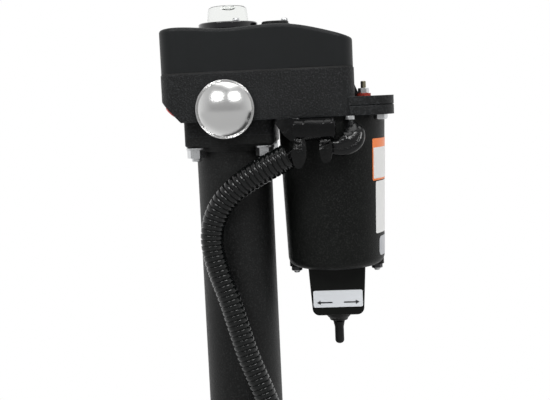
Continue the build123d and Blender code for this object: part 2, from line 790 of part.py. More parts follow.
# Motor housing: a tapered can with a rounded foot and two bolt lugs
motor_r = motor_d / 2
foot_r = motor_foot_d / 2
can_floor = motor_bottom + motor_floor
can_outline = Polyline(
    (0, motor_bottom),
    (foot_r, motor_bottom),
    (motor_r, housing_bottom),
    (0, housing_bottom),
    close=True,
)
can = revolve(Plane.XZ * make_face(can_outline), Axis.Z)
can = fillet(rims(can)[0], motor_corner)
lug_bottom = motor_bottom - lug_proud
for sx in (-through_bolt_x, through_bolt_x):
    lug = rod(lug_d, lug_bottom, motor_bottom + 10, sx)
    can += lug & rod(2 * foot_r, lug_bottom, motor_bottom + 10)
floor_r = foot_r - motor_wall + (motor_r - foot_r) * motor_floor / motor_height
hollow_outline = Polyline(
    (0, can_floor),
    (floor_r, can_floor),
    (motor_r - motor_wall, housing_bottom),
    (0, housing_bottom),
    close=True,
)
can_hollow = revolve(Plane.XZ * make_face(hollow_outline), Axis.Z)
can -= can_hollow
lower_bearing_top = can_floor + bearing_height
can += ring(bearing_d + 7, bearing_d + slip, can_floor - 1, lower_bearing_top)
for sx in (-through_bolt_x, through_bolt_x):
    can -= rod(through_bolt_d + 0.4, lug_bottom - 1, can_floor + 1, sx)
save("motor_housing", Pos(motor_x, 0, 0) * can)

# Through bolts with their nuts
through_bolts = []
through_nut_bottom = lug_bottom - through_nut_thickness
for sx in (-through_bolt_x, through_bolt_x):
    bx = motor_x + sx
    bolt = rod(through_bolt_d, through_nut_bottom - 1.8, through_top, bx)
    through_bolts.append(chamfer(rims(bolt), 0.5))
    nut = hexagon(through_nut_across, through_nut_bottom, lug_bottom, bx)
    nut &= Pos(bx, 0, lug_bottom - through_nut_thickness / 2) * Sphere(through_nut_across * 0.6)
    through_bolts.append(nut - rod(through_bolt_d + slip, lug_bottom - 9, lug_bottom + 1, bx))
save("through_bolts", *through_bolts)

# Inside the motor: spindle, bearings, commutator, core and windings
spindle = rod(shaft_d, can_floor + 0.5, intermediate_top + 0.8, motor_x)
save("armature_shaft", chamfer(rims(spindle), 0.8))
save(
    "motor_bearings",
    ring(bearing_d, shaft_d + slip, can_floor, lower_bearing_top, motor_x),
    ring(bearing_d, shaft_d + slip, housing_bottom, pocket_top, motor_x),
)
holder_bottom = lower_bearing_top
holder_top = holder_bottom + 2.5
commutator_bottom = holder_top + 2
commutator_top = commutator_bottom + commutator_height
commutator = ring(commutator_d, shaft_d + slip, commutator_bottom, commutator_top, motor_x)
for k in range(slot_count):
    cut = Pos(motor_x, 0, (commutator_bottom + commutator_top) / 2) * Rot(0, 0, 360 * k / slot_count)
    commutator -= cut * Pos(commutator_d / 2, 0, 0) * Box(3, 0.6, commutator_height + 2)
save("commutator", commutator)
core_bottom = commutator_top + winding_height + 3
core_top = core_bottom + core_height
core = ring(armature_d, shaft_d + slip, core_bottom, core_top, motor_x)
winding_d = armature_d - 8
winding_bore = shaft_d + 6
winding = ring(winding_d, winding_bore, core_bottom - winding_height, core_bottom - slip, motor_x)
winding += ring(winding_d, winding_bore, core_top + slip, core_top + winding_height, motor_x)
slot_x = armature_d / 2 - 3 - slot_depth / 2
slot_fill = 4 * slip
for k in range(slot_count):
    spot = Pos(motor_x, 0, (core_bottom + core_top) / 2) * Rot(0, 0, 360 * (k + 0.5) / slot_count)
    core -= spot * Pos(slot_x, 0, 0) * Box(slot_depth, slot_width, core_height + 2)
    core -= spot * Pos(armature_d / 2 - 1, 0, 0) * Box(6, 1.6, core_height + 2)
    coil_side = Box(slot_depth - slot_fill, slot_width - slot_fill, core_height + 2)
    winding += spot * Pos(slot_x, 0, 0) * coil_side
save("armature_core", core)
save("armature_windings", winding)

# Brush holder with two boxes, and the brushes in them
brush_low = commutator_bottom + (commutator_height - brush_height) / 2
brush_top = brush_low + brush_height
brush_start = commutator_d / 2 + slip
brush_end = brush_start + brush_length
brush_half = brush_width / 2
holder_d = motor_foot_d - 2 * motor_wall - 2 * loose
holder = ring(holder_d, bearing_d, holder_bottom, holder_top, motor_x)
brush = block(-brush_half, brush_half, brush_start, brush_end, brush_low, brush_top)
box = block(-brush_half - 1.5, brush_half + 1.5, brush_start + 3, brush_end + 2, holder_top, brush_top + 1.5)
box -= block(
    -brush_half - slip,
    brush_half + slip,
    brush_start,
    brush_end + slip,
    brush_low - slip,
    brush_top + slip,
)
for sx in (-through_bolt_x, through_bolt_x):
    holder -= rod(through_bolt_d + 1, holder_bottom - 1, holder_top + 1, motor_x + sx)
for turn in (0, 180):
    holder += Pos(motor_x, 0, 0) * Rot(0, 0, turn) * box
save("brush_holder", holder)
save("brushes", *[Pos(motor_x, 0, 0) * Rot(0, 0, turn) * brush for turn in (0, 180)])

# Two curved magnets on the can's inner wall
magnet_low = core_bottom - 3
magnet_high = core_top + 3
magnet_band = Pos(motor_x, 0, 0) * can_hollow & rod(2 * motor_d, magnet_low, magnet_high, motor_x)
magnet_band -= rod(armature_d + 2, magnet_low - 2, magnet_high + 2, motor_x)
magnets = []
for middle in (90, 270):
    a = math.radians(middle - magnet_angle / 2)
    b = math.radians(middle + magnet_angle / 2)
    fan = Polyline(
        (0, 0),
        (motor_d * math.cos(a), motor_d * math.sin(a)),
        (motor_d * math.cos(b), motor_d * math.sin(b)),
        close=True,
    )
    sector = Pos(motor_x, 0, magnet_low) * extrude(make_face(fan), core_height + 6)
    magnets.append(magnet_band & sector)
save("motor_magnets", *magnets)

# Terminal stud on the ledge, with a red washer and a nut
terminal_seat = floor_top + terminal_washer_thickness
terminal_nut_top = terminal_seat + terminal_nut_thickness
terminal = rod(terminal_d, ledge_bottom + 2, floor_top + terminal_height, terminal_x, terminal_y)
save("terminal_stud", chamfer(rims(terminal), 0.5))
washer = ring(terminal_washer_d, terminal_d + slip, floor_top, terminal_seat, terminal_x, terminal_y)
save("terminal_washer", washer)
nut = hexagon(terminal_nut_across, terminal_seat, terminal_nut_top, terminal_x, terminal_y)
nut_middle = Pos(terminal_x, terminal_y, (terminal_seat + terminal_nut_top) / 2)
nut &= nut_middle * Sphere(terminal_nut_across * 0.6)
nut -= rod(terminal_d + slip, terminal_seat - 1, terminal_nut_top + 1, terminal_x, terminal_y)
save("terminal_nut", nut)


# Switch housing: a tapered box, open towards the motor
def switch_block(inset, bottom, corner):
    """Tapered block of the switch housing, drawn in by inset."""
    top_half = switch_top_width / 2 - inset
    foot_half = switch_foot_width / 2 - inset
    front_view = make_face(
        Polyline(
            (motor_x - foot_half, bottom),
            (motor_x + foot_half, bottom),
            (motor_x + top_half, motor_bottom),
            (motor_x - top_half, motor_bottom),
            close=True,
        )
    )
    front_view = fillet(front_view.vertices().group_by(Axis.Y)[0], corner)
    depth = switch_depth - 2 * inset
    back = Pos(0, -switch_front + inset + depth, 0) * (Plane.XZ * front_view)
    return extrude(back, depth, dir=(0, -1, 0))


switch_box = switch_block(0, switch_bottom, switch_corner)
switch_box = fillet(switch_box.faces().sort_by(Axis.Y)[0].edges(), 1.2)
switch_box -= switch_block(switch_wall, switch_bottom + switch_wall, switch_corner - 2)
switch_y = -switch_front + switch_depth / 2
switch_box -= rod(switch_bush_d + slip, switch_bottom - 1, switch_bottom + 5, motor_x, switch_y)
save("switch_housing", switch_box)
label_z = switch_bottom + label_above_foot + label_height / 2
label_face = Plane.XZ * RectangleRounded(label_width, label_height, label_corner)
label = extrude(Pos(motor_x, -switch_front, label_z) * label_face, label_thickness, dir=(0, -1, 0))
save("switch_label", label)

# Toggle switch: body with its bush, rubber boot and lever
body_bottom = switch_bottom + switch_wall
switch_body = block(
    motor_x - switch_body_length / 2,
    motor_x + switch_body_length / 2,
    switch_y - switch_body_width / 2,
    switch_y + switch_body_width / 2,
    body_bottom,
    body_bottom + switch_body_height,
)
bush_low = switch_bottom - switch_bush_drop
switch_body += rod(switch_bush_d, bush_low, body_bottom, motor_x, switch_y)
pivot_z = switch_bottom + toggle_pivot
swing = math.tan(math.radians(toggle_swing + 1))
clear_height = toggle_pivot + switch_bush_drop
clear_r = toggle_d / 2 + loose
clear_cone = Cone(clear_r + swing * clear_height, clear_r, clear_height)
switch_body -= Pos(motor_x, switch_y, pivot_z - clear_height / 2) * clear_cone
switch_body -= Pos(motor_x, switch_y, pivot_z) * Sphere(toggle_d / 2 + running)
save("switch_body", switch_body)
boot_bottom = switch_bottom - boot_height
boot = Cone(boot_tip_d / 2, boot_d / 2, boot_height)
boot = Pos(motor_x, switch_y, switch_bottom - boot_height / 2) * boot
boot -= rod(switch_bush_d + slip, bush_low, switch_bottom + 1, motor_x, switch_y)
boot_opening = 2 * swing * (toggle_pivot + boot_height) + toggle_d + 2 * loose
boot -= rod(boot_opening, boot_bottom - 1, switch_bottom, motor_x, switch_y)
save("switch_boot", boot)
grip_bottom = switch_bottom - toggle_reach
sleeve_top = boot_bottom - 2
grip = rod(toggle_grip_d, grip_bottom, sleeve_top, motor_x, switch_y)
lever = fillet(rims(grip)[0], toggle_grip_d * 0.4)
lever += rod(toggle_d - 1.6, sleeve_top - 1, pivot_z, motor_x, switch_y)
lever += Pos(motor_x, switch_y, pivot_z) * Sphere(toggle_d / 2)
sleeve_place = Pos(motor_x, switch_y, sleeve_top - boot_sleeve_height / 2)
lever += sleeve_place * Cone(toggle_grip_d / 2, boot_sleeve_d / 2, boot_sleeve_height)
save("toggle_lever", lever)


def bend_radii(points):
    """Radius of the arc at each corner: 0.45 of the shorter run, over the tangent of half the turn."""
    radii = []
    for a, b, c in zip(points, points[1:], points[2:]):
        before = Vector(*b) - Vector(*a)
        after = Vector(*c) - Vector(*b)
        half_turn = math.radians(before.get_angle(after)) / 2
        radii.append(0.45 * min(before.length, after.length) / math.tan(half_turn))
    return radii


def route(points):
    """Straight runs joined by tangent arcs."""
    return FilletPolyline(*points, radius=bend_radii(points))


def bar(path, d):
    """Round bar along a path."""
    return sweep(Plane(path @ 0, z_dir=path % 0) * Circle(d / 2), path=path)


# Conduit: the stretch that hangs from the loom to the floor
conduit_r = conduit_d / 2
coil_outer = coil_r + conduit_r
coil_start_x = coil_x - coil_lead
coil_start_y = coil_y - coil_outer
conduit_points = [
    (50.2, loom_y + 1.8, axis_z - 38.8),
    (31.2, loom_y + 4.6, axis_z - 47.8),
    (9.5, -52.0, axis_z - 60.5),
    (-7.0, -50.0, axis_z - 76.0),
    (-15.2, -49.0, axis_z - 93.0),
    (-16.8, -48.5, axis_z - 111.5),
    (-11.5, -48.5, axis_z - 133.5),
    (-4.0, -48.8, axis_z - 155.0),
    (2.5, -49.3, axis_z - 180.0),
    (9.5, -50.3, axis_z * 0.6756),
    (18.5, -51.6, axis_z * 0.6392),
    (28.0, -53.8, axis_z * 0.5981),
    (35.0, -57.0, axis_z * 0.5475),
    (39.0, -61.0, axis_z * 0.4905),
    (41.0, -65.5, axis_z * 0.4272),
    (41.5, -71.0, axis_z * 0.3608),
    (41.0, -76.5, axis_z * 0.2943),
    (40.5, -81.5, axis_z * 0.2278),
    (41.0, -85.5, axis_z * 0.1741),
    (43.5, -87.8, axis_z * 0.125),
    (60.0, coil_start_y, conduit_r + 40.5),
    (86.5, coil_start_y, conduit_r + 13.5),
    (120.5, coil_start_y, conduit_r),
    (coil_start_x, coil_start_y, conduit_r),
]
print("conduit bend radii", [round(r, 1) for r in bend_radii(conduit_points)])
conduit_path = route(conduit_points)
conduit = bar(conduit_path, conduit_d)
print("conduit length", round(conduit_path.length, 1))
print("tube volume over section times length", conduit.volume / (math.pi * conduit_r**2 * conduit_path.length))
save("power_conduit", conduit)

# Wiring under the head: the taped loom with its inlet, its tapered end and its tail to the conduit
loom_z = axis_z - loom_drop
loom_left = loom_x - loom_length / 2
loom_right = loom_x + loom_length / 2
loom = long_rod(loom_d, loom_left, loom_right, loom_y, loom_z)
loom = fillet(loom.edges().filter_by(GeomType.CIRCLE), 2.5)
taper_start = Vector(loom_left + 4, loom_y, loom_z)
taper_end = Vector(neck_half + 4, loom_y + 5, axis_z - 13.5)
taper_run = taper_end - taper_start
taper = Cone(loom_d / 2 - 1, loom_end_d / 2, taper_run.length)
loom += Plane(taper_start + taper_run * 0.5, z_dir=taper_run) * taper
inlet_points = [
    (inlet_x, inlet_y, housing_bottom),
    (inlet_x, inlet_y, housing_bottom - 5.5),
    (inlet_x + 5, loom_y + 2, loom_z),
]
loom += bar(route(inlet_points), inlet_d)
conduit_start = Vector(*conduit_points[0])
tail_turn = conduit_start + (conduit_start - Vector(*conduit_points[1])) * 0.35
tail_points = [tuple(conduit_start), tuple(tail_turn), (62.0, loom_y + 0.5, loom_z - 1)]
loom += bar(route(tail_points), tail_d)
save("taped_loom", loom)

# Cable that loops out of the loom and up to the motor plate
cable_points = [
    (76.5, loom_y, axis_z - 26.0),
    (81.0, loom_y, axis_z - 35.0),
    (95.0, loom_y - 0.8, axis_z - 37.5),
    (106.5, loom_y + 0.7, axis_z - 31.0),
    (107.0, loom_y + 5.7, axis_z - 19.5),
    (gland_x, gland_y, axis_z - 21.5),
    (gland_x, gland_y, housing_bottom),
]
print("cable bend radii", [round(r, 1) for r in bend_radii(cable_points)])
cable_path = route(cable_points)
print("cable length", round(cable_path.length, 1))
save("cable_loop", bar(cable_path, cable_d))

# Ferrules where both cables enter the motor plate
save(
    "cable_ferrules",
    ring(
        cable_d + 2 * gland_wall,
        cable_d + slip,
        housing_bottom - gland_height,
        housing_bottom,
        gland_x,
        gland_y,
    ),
    ring(
        inlet_d + 2 * gland_wall,
        inlet_d + slip,
        housing_bottom - gland_height,
        housing_bottom,
        inlet_x,
        inlet_y,
    ),
)

# Spare conduit: two turns side by side on the floor, with the lead in and the tail inside
turns_low = 2 * running
turns_high = conduit_d - 2 * running
coil = ring(2 * coil_outer + conduit_d, 2 * coil_r - 2 * conduit_d, turns_low, turns_high)
coil = chamfer(coil.edges().filter_by(GeomType.CIRCLE), conduit_r / 2)
coil = Pos(coil_x, coil_y, 0) * coil
coil += long_rod(conduit_d, coil_start_x, coil_x, coil_start_y, conduit_r)
coil_inner = coil_r - conduit_r
tail_centre = (coil_x, coil_y + coil_inner - coil_tail_r, conduit_r)
tail_arc = CenterArc(tail_centre, coil_tail_r, 90, coil_tail_angle)
coil += bar(tail_arc, conduit_d)
save("conduit_coil", coil)

# Two-pole connector on the conduit's end
tail_end = tail_arc @ 1
connector_axis = tail_arc % 1
connector_shape = Box(connector_width, connector_height, connector_length)
connector_shape = fillet(connector_shape.edges().filter_by(Axis.Z), 3)
for side in (-1, 1):
    socket = Pos(side * connector_width / 4.5, 0, connector_length / 2) * Box(4.5, 7, 2 * 12)
    connector_shape -= socket
connector_place = Plane(
    tail_end + connector_axis * (connector_length / 2),
    x_dir=connector_axis.cross(Vector(0, 0, 1)),
    z_dir=connector_axis,
)
save("lead_connector", connector_place * connector_shape)
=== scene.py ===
import json
import math

import bmesh
import bpy
from mathutils import Matrix, Vector, noise


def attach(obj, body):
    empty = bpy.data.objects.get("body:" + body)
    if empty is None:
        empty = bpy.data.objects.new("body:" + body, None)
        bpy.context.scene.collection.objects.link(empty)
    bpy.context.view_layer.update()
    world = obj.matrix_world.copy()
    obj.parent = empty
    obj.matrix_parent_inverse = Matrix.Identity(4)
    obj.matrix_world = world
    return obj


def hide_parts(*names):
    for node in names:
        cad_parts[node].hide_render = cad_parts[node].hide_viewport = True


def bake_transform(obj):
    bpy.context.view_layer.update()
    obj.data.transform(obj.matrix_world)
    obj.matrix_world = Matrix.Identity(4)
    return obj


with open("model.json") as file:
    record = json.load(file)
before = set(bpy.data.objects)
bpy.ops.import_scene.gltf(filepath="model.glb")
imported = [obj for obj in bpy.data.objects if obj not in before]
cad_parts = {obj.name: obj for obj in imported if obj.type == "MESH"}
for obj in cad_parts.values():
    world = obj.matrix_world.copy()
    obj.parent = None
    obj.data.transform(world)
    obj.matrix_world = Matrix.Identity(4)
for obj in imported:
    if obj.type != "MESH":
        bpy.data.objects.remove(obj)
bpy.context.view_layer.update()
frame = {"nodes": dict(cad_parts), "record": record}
scene = bpy.context.scene
axisZ = 0.632  # height of the dust cap's middle
motorX = 0.084
print("frame loaded,", len(frame["nodes"]), "nodes")

# Camera, at the photograph's viewing angle

shot = {
    "place": (0.0897, -0.8101, 0.6375),
    "turn": 4.0,
    "down": 6.0,
    "roll": 2.6,
    "lens": 62.18,
}


def addCamera():
    turn = Matrix.Rotation(math.radians(shot["turn"]), 4, "Z")
    tilt = Matrix.Rotation(math.radians(90.0 - shot["down"]), 4, "X")
    roll = Matrix.Rotation(math.radians(-shot["roll"]), 4, "Z")
    lens = bpy.data.cameras.new("camera")
    lens.sensor_fit = "HORIZONTAL"
    lens.sensor_width = 36.0
    lens.lens = shot["lens"]
    lens.clip_start = 0.01
    camera = bpy.data.objects.new("camera", lens)
    camera.matrix_world = Matrix.Translation(shot["place"]) @ turn @ tilt @ roll
    scene.collection.objects.link(camera)
    scene.camera = camera


addCamera()
print("camera placed")


# Small helpers for the pieces

def addPiece(bm, name, smooth=True, crease=40.0):
    bmesh.ops.remove_doubles(bm, verts=bm.verts, dist=1e-6)
    bmesh.ops.recalc_face_normals(bm, faces=bm.faces)
    mesh = bpy.data.meshes.new(name)
    bm.to_mesh(mesh)
    bm.free()
    return addMesh(mesh, name, smooth, crease)


def addMesh(mesh, name, smooth=True, crease=40.0):
    for face in mesh.polygons:
        face.use_smooth = smooth
    if smooth:
        mesh.set_sharp_from_angle(angle=math.radians(crease))
    piece = bpy.data.objects.new(name, mesh)
    scene.collection.objects.link(piece)
    return piece


def dress(piece, body, finishName, replaced=()):
    piece.data.materials.clear()
    piece.data.materials.append(finishes[finishName])
    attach(piece, body)
    if replaced:
        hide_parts(*replaced)
    return piece


def turned(bm, profile, place, steps=72, angle=math.tau):
    # profile is a run of (radius, height) pairs turned about the local Z axis
    verts = [bm.verts.new((r, 0.0, h)) for r, h in profile]
    edges = [bm.edges.new(pair) for pair in zip(verts, verts[1:])]
    whole = abs(angle - math.tau) < 1e-6
    before = set(bm.verts) - set(verts)
    bmesh.ops.spin(
        bm, geom=verts + edges, cent=(0, 0, 0), axis=(0, 0, 1), angle=angle,
        steps=steps, use_merge=whole, use_duplicate=False,
    )
    made = [v for v in bm.verts if v not in before]
    bmesh.ops.transform(bm, matrix=place, verts=made)
    bmesh.ops.remove_doubles(bm, verts=bm.verts, dist=1e-6)


def splineFrom(points, name, radius=0.0, swell=(), smoothness=12):
    # swell widens the first points of the run, as factors of the radius
    curve = bpy.data.curves.new(name, "CURVE")
    curve.dimensions = "3D"
    curve.resolution_u = smoothness
    spline = curve.splines.new("NURBS")
    spline.points.add(len(points) - 1)
    for knot, place in zip(spline.points, points):
        knot.co = (*place, 1.0)
    for knot, factor in zip(spline.points, swell):
        knot.radius = factor
    spline.order_u = 3
    spline.use_endpoint_u = True
    curve.bevel_depth = radius
    curve.bevel_resolution = 6
    curve.use_fill_caps = radius > 0
    line = bpy.data.objects.new(name, curve)
    scene.collection.objects.link(line)
    return line


def meshOf(item):
    graph = bpy.context.evaluated_depsgraph_get()
    return bpy.data.meshes.new_from_object(item.evaluated_get(graph))


def drop(item):
    bpy.data.objects.remove(item, do_unlink=True)


def bentStrip(bm, rows, across):
    # a strip of tape through the rows, each (x, y, z, width)
    side = Vector(across).normalized() / 2
    edges = []
    for x, y, z, width in rows:
        middle = Vector((x, y, z))
        ends = (bm.verts.new(middle - side * width), bm.verts.new(middle + side * width))
        edges.append(bm.edges.new(ends))
    for low, high in zip(edges, edges[1:]):
        bmesh.ops.bridge_loops(bm, edges=[low, high])


# Finishes: every one has its own grain, tone and wear

# tone is the spread of the colour, rough the range of the roughness, grain and cloud the scales of
# the fine and the broad pattern, height and strength the relief, rounding the edges' radius in
# metres, wear and worn how far and to what colour the edges are rubbed

finishes = {}


def newMaterial(name):
    material = bpy.data.materials.new(name)
    material.use_nodes = True
    tree = material.node_tree
    shader = tree.nodes["Principled BSDF"]
    return material, tree, shader


def addNode(tree, kind, **settings):
    node = tree.nodes.new(kind)
    for key, value in settings.items():
        if key in node.inputs:
            node.inputs[key].default_value = value
        else:
            setattr(node, key, value)
    return node


def spread(tree, source, low, high, fromLow=0.3, fromHigh=0.7):
    node = addNode(tree, "ShaderNodeMapRange")
    node.inputs["From Min"].default_value = fromLow
    node.inputs["From Max"].default_value = fromHigh
    node.inputs["To Min"].default_value = low
    node.inputs["To Max"].default_value = high
    tree.links.new(source, node.inputs["Value"])
    return node.outputs["Result"]


def blendColour(tree, factor, first, second):
    node = addNode(tree, "ShaderNodeMix", data_type="RGBA")
    tree.links.new(factor, node.inputs["Factor"])
    for slot, value in ((6, first), (7, second)):
        if hasattr(value, "is_linked"):
            tree.links.new(value, node.inputs[slot])
        else:
            node.inputs[slot].default_value = (*value, 1.0)
    return node.outputs[2]


def makeFinish(name, colour, tone=0.25, rough=(0.4, 0.5), metal=0.0, grain=900.0,
               height=0.00008, strength=0.4, cloud=30.0, rounding=0.0, wear=0.0,
               worn=(0.3, 0.3, 0.3), lines=None, stretch=(1, 1, 1), paintedGlint=None, shader=None):
    material, tree, bsdf = newMaterial(name)
    links = tree.links
    coords = addNode(tree, "ShaderNodeTexCoord").outputs["Object"]
    mapped = addNode(tree, "ShaderNodeMapping")
    mapped.inputs["Scale"].default_value = stretch
    links.new(coords, mapped.inputs["Vector"])
    large = addNode(tree, "ShaderNodeTexNoise", Scale=cloud, Detail=4.0, Roughness=0.6)
    links.new(coords, large.inputs["Vector"])
    fine = addNode(tree, "ShaderNodeTexNoise", Scale=grain, Detail=3.0, Roughness=0.65)
    links.new(mapped.outputs["Vector"], fine.inputs["Vector"])
    dark = [c * (1 - tone) for c in colour]
    light = [min(c * (1 + tone), 1.0) for c in colour]
    paint = blendColour(tree, spread(tree, large.outputs["Fac"], 0, 1), dark, light)
    relief = fine.outputs["Fac"]
    # painted glints: a lighter colour painted on the peaks of the fine grain, standing in for the
    # specks of light that the rough coat catches
    if paintedGlint:
        paint = blendColour(tree, spread(tree, relief, 0, 1, 0.50, 0.72), paint, paintedGlint)
    if lines:
        axis, scale, depth, lineColour = lines
        wave = addNode(tree, "ShaderNodeTexWave", wave_type="BANDS", bands_direction=axis)
        wave.inputs["Scale"].default_value = scale
        wave.inputs["Distortion"].default_value = 0.4
        links.new(coords, wave.inputs["Vector"])
        added = addNode(tree, "ShaderNodeMath", operation="MULTIPLY_ADD")
        links.new(wave.outputs["Fac"], added.inputs[0])
        added.inputs[1].default_value = depth
        links.new(relief, added.inputs[2])
        relief = added.outputs[0]
        gap = spread(tree, wave.outputs["Fac"], 1, 0, 0.0, 0.35)
        paint = blendColour(tree, gap, paint, lineColour)
    normal = None
    if rounding:
        edge = addNode(tree, "ShaderNodeBevel", samples=4)
        edge.inputs["Radius"].default_value = rounding
        normal = edge.outputs["Normal"]
        if wear:
            flat = addNode(tree, "ShaderNodeNewGeometry").outputs["Normal"]
            dot = addNode(tree, "ShaderNodeVectorMath", operation="DOT_PRODUCT")
            links.new(normal, dot.inputs[0])
            links.new(flat, dot.inputs[1])
            rub = spread(tree, dot.outputs["Value"], wear, 0, 0.80, 0.995)
            patchy = spread(tree, large.outputs["Fac"], 0, 1, 0.42, 0.60)
            both = addNode(tree, "ShaderNodeMath", operation="MULTIPLY")
            links.new(rub, both.inputs[0])
            links.new(patchy, both.inputs[1])
            paint = blendColour(tree, both.outputs[0], paint, worn)
    links.new(paint, bsdf.inputs["Base Color"])
    links.new(spread(tree, fine.outputs["Fac"], *rough), bsdf.inputs["Roughness"])
    bump = addNode(tree, "ShaderNodeBump")
    bump.inputs["Strength"].default_value = strength
    bump.inputs["Distance"].default_value = height
    links.new(relief, bump.inputs["Height"])
    if normal:
        links.new(normal, bump.inputs["Normal"])
    links.new(bump.outputs["Normal"], bsdf.inputs["Normal"])
    bsdf.inputs["Metallic"].default_value = metal
    for socket, value in (shader or {}).items():
        bsdf.inputs[socket].default_value = value
    finishes[name] = material
    return material


# the three blacks below each carry a painted glint colour, their last colour, laid on the peaks of
# their grain
makeFinish("castBlack", (0.0045, 0.0050, 0.0054), 0.35, (0.34, 0.66), grain=720.0, height=0.0006,
           strength=0.9, rounding=0.0011, wear=0.6, worn=(0.06, 0.065, 0.07),
           paintedGlint=(0.030, 0.032, 0.034), shader={"Specular IOR Level": 0.24})
makeFinish("powderBlack", (0.0050, 0.0054, 0.0054), 0.3, (0.36, 0.62), grain=900.0, height=0.0004,
           strength=0.8, rounding=0.0006, wear=0.35, worn=(0.08, 0.08, 0.08),
           paintedGlint=(0.026, 0.027, 0.027), shader={"Specular IOR Level": 0.22})
makeFinish("motorBlack", (0.0030, 0.0036, 0.0032), 0.3, (0.36, 0.56), grain=850.0, height=0.00035,
           strength=0.8, rounding=0.0008, wear=0.2, worn=(0.05, 0.05, 0.05),
           paintedGlint=(0.018, 0.019, 0.018), shader={"Specular IOR Level": 0.16})
makeFinish("coverBlack", (0.0066, 0.0077, 0.0083), 0.2, (0.40, 0.52), grain=1900.0, height=0.00010,
           strength=0.4, cloud=14.0, rounding=0.0016, wear=0.9, worn=(0.075, 0.08, 0.085),
           shader={"Specular IOR Level": 0.24})
makeFinish("zinc", (0.66, 0.67, 0.68), 0.10, (0.24, 0.40), 1.0, grain=1300.0, strength=0.3,
           rounding=0.0004)
makeFinish("steel", (0.52, 0.52, 0.51), 0.15, (0.26, 0.40), 1.0, grain=700.0, strength=0.25,
           stretch=(1, 1, 12), rounding=0.0003)
makeFinish("bearingSteel", (0.60, 0.60, 0.60), 0.06, (0.10, 0.18), 1.0, grain=600.0,
           height=0.00001, strength=0.1, rounding=0.0002)
makeFinish("mirrorSteel", (0.76, 0.76, 0.755), 0.03, (0.20, 0.24), 1.0, grain=240.0,
           height=0.00001, strength=0.06)
makeFinish("blackOxide", (0.030, 0.031, 0.033), 0.3, (0.34, 0.50), 0.5, grain=1400.0, strength=0.3,
           rounding=0.0003, wear=0.5, worn=(0.16, 0.16, 0.17))
makeFinish("bronze", (0.46, 0.27, 0.11), 0.18, (0.28, 0.42), 1.0, grain=800.0, strength=0.25,
           stretch=(1, 1, 9), rounding=0.0003)
makeFinish("brass", (0.68, 0.49, 0.20), 0.14, (0.22, 0.36), 1.0, grain=800.0, strength=0.25,
           rounding=0.0003)
makeFinish("gearSteel", (0.33, 0.33, 0.325), 0.2, (0.26, 0.42), 1.0, grain=900.0, strength=0.3,
           rounding=0.0003, wear=0.6, worn=(0.6, 0.6, 0.6))
makeFinish("copper", (0.58, 0.22, 0.09), 0.25, (0.22, 0.36), 0.85, grain=600.0, strength=0.5,
           lines=("Z", 210.0, 2.0, (0.12, 0.035, 0.02)))
makeFinish("coreSteel", (0.24, 0.24, 0.24), 0.2, (0.34, 0.5), 0.9, grain=900.0, strength=0.5,
           lines=("Z", 160.0, 1.2, (0.05, 0.05, 0.05)))
makeFinish("carbon", (0.022, 0.022, 0.024), 0.35, (0.5, 0.75), grain=1600.0, strength=0.4)
makeFinish("ferrite", (0.045, 0.045, 0.048), 0.3, (0.5, 0.68), grain=1300.0, strength=0.4,
           rounding=0.0005)
makeFinish("phenolic", (0.10, 0.045, 0.022), 0.3, (0.4, 0.55), grain=500.0, strength=0.4,
           stretch=(1, 1, 5), rounding=0.0004)
makeFinish("gasket", (0.012, 0.012, 0.012), 0.4, (0.65, 0.85), grain=1500.0, strength=0.5)
makeFinish("rubber", (0.006, 0.0062, 0.006), 0.3, (0.42, 0.58), grain=1400.0, strength=0.35,
           rounding=0.0006, shader={"Specular IOR Level": 0.25})
makeFinish("guidePlastic", (0.56, 0.54, 0.48), 0.06, (0.38, 0.5), grain=900.0, strength=0.2,
           rounding=0.0005, shader={"Subsurface Weight": 0.2, "Subsurface Scale": 1.0,
                                    "Subsurface Radius": (0.004, 0.003, 0.002)})
makeFinish("bushPlastic", (0.035, 0.036, 0.038), 0.2, (0.35, 0.48), grain=1100.0, strength=0.25,
           rounding=0.0004)
makeFinish("redLens", (0.78, 0.014, 0.009), 0.12, (0.08, 0.14), grain=500.0, height=0.00003,
           strength=0.3, rounding=0.0006, shader={"Transmission Weight": 0.35, "Coat Weight": 0.6})
makeFinish("levelBase", (0.004, 0.004, 0.0055), 0.15, (0.07, 0.12), grain=700.0, height=0.00003,
           strength=0.15, rounding=0.0007, shader={"Coat Weight": 0.5})
makeFinish("clearDome", (0.90, 0.915, 0.895), 0.02, (0.03, 0.06), grain=260.0, height=0.00001,
           strength=0.05, shader={"Transmission Weight": 1.0, "IOR": 1.30})
makeFinish("bubbleAir", (0.98, 1.0, 0.98), 0.01, (0.01, 0.02), grain=260.0, height=0.00001,
           strength=0.02, shader={"Transmission Weight": 1.0, "IOR": 1.20})
makeFinish("redFibre", (0.42, 0.035, 0.018), 0.25, (0.6, 0.8), grain=900.0, strength=0.5,
           stretch=(1, 1, 4))
makeFinish("switchPlastic", (0.0026, 0.0031, 0.0026), 0.25, (0.34, 0.50), grain=1500.0,
           height=0.00015, strength=0.5, rounding=0.0008, wear=0.2, worn=(0.04, 0.04, 0.04),
           shader={"Specular IOR Level": 0.16})
makeFinish("passivated", (0.26, 0.24, 0.17), 0.3, (0.28, 0.45), 1.0, grain=1100.0, strength=0.3,
           rounding=0.0003)
makeFinish("labelFilm", (0.60, 0.62, 0.645), 0.03, (0.26, 0.36), grain=1200.0, height=0.00003,
           strength=0.2)
makeFinish("labelWhite", (0.70, 0.70, 0.69), 0.04, (0.30, 0.42), grain=900.0, height=0.00003,
           strength=0.2)
makeFinish("labelGrey", (0.42, 0.43, 0.45), 0.05, (0.30, 0.42), grain=900.0, height=0.00003,
           strength=0.2)
makeFinish("labelOrange", (0.78, 0.19, 0.035), 0.06, (0.30, 0.40), grain=900.0, height=0.00003,
           strength=0.2)
makeFinish("arrowInk", (0.014, 0.014, 0.016), 0.1, (0.35, 0.45), grain=1200.0, height=0.00002,
           strength=0.2)
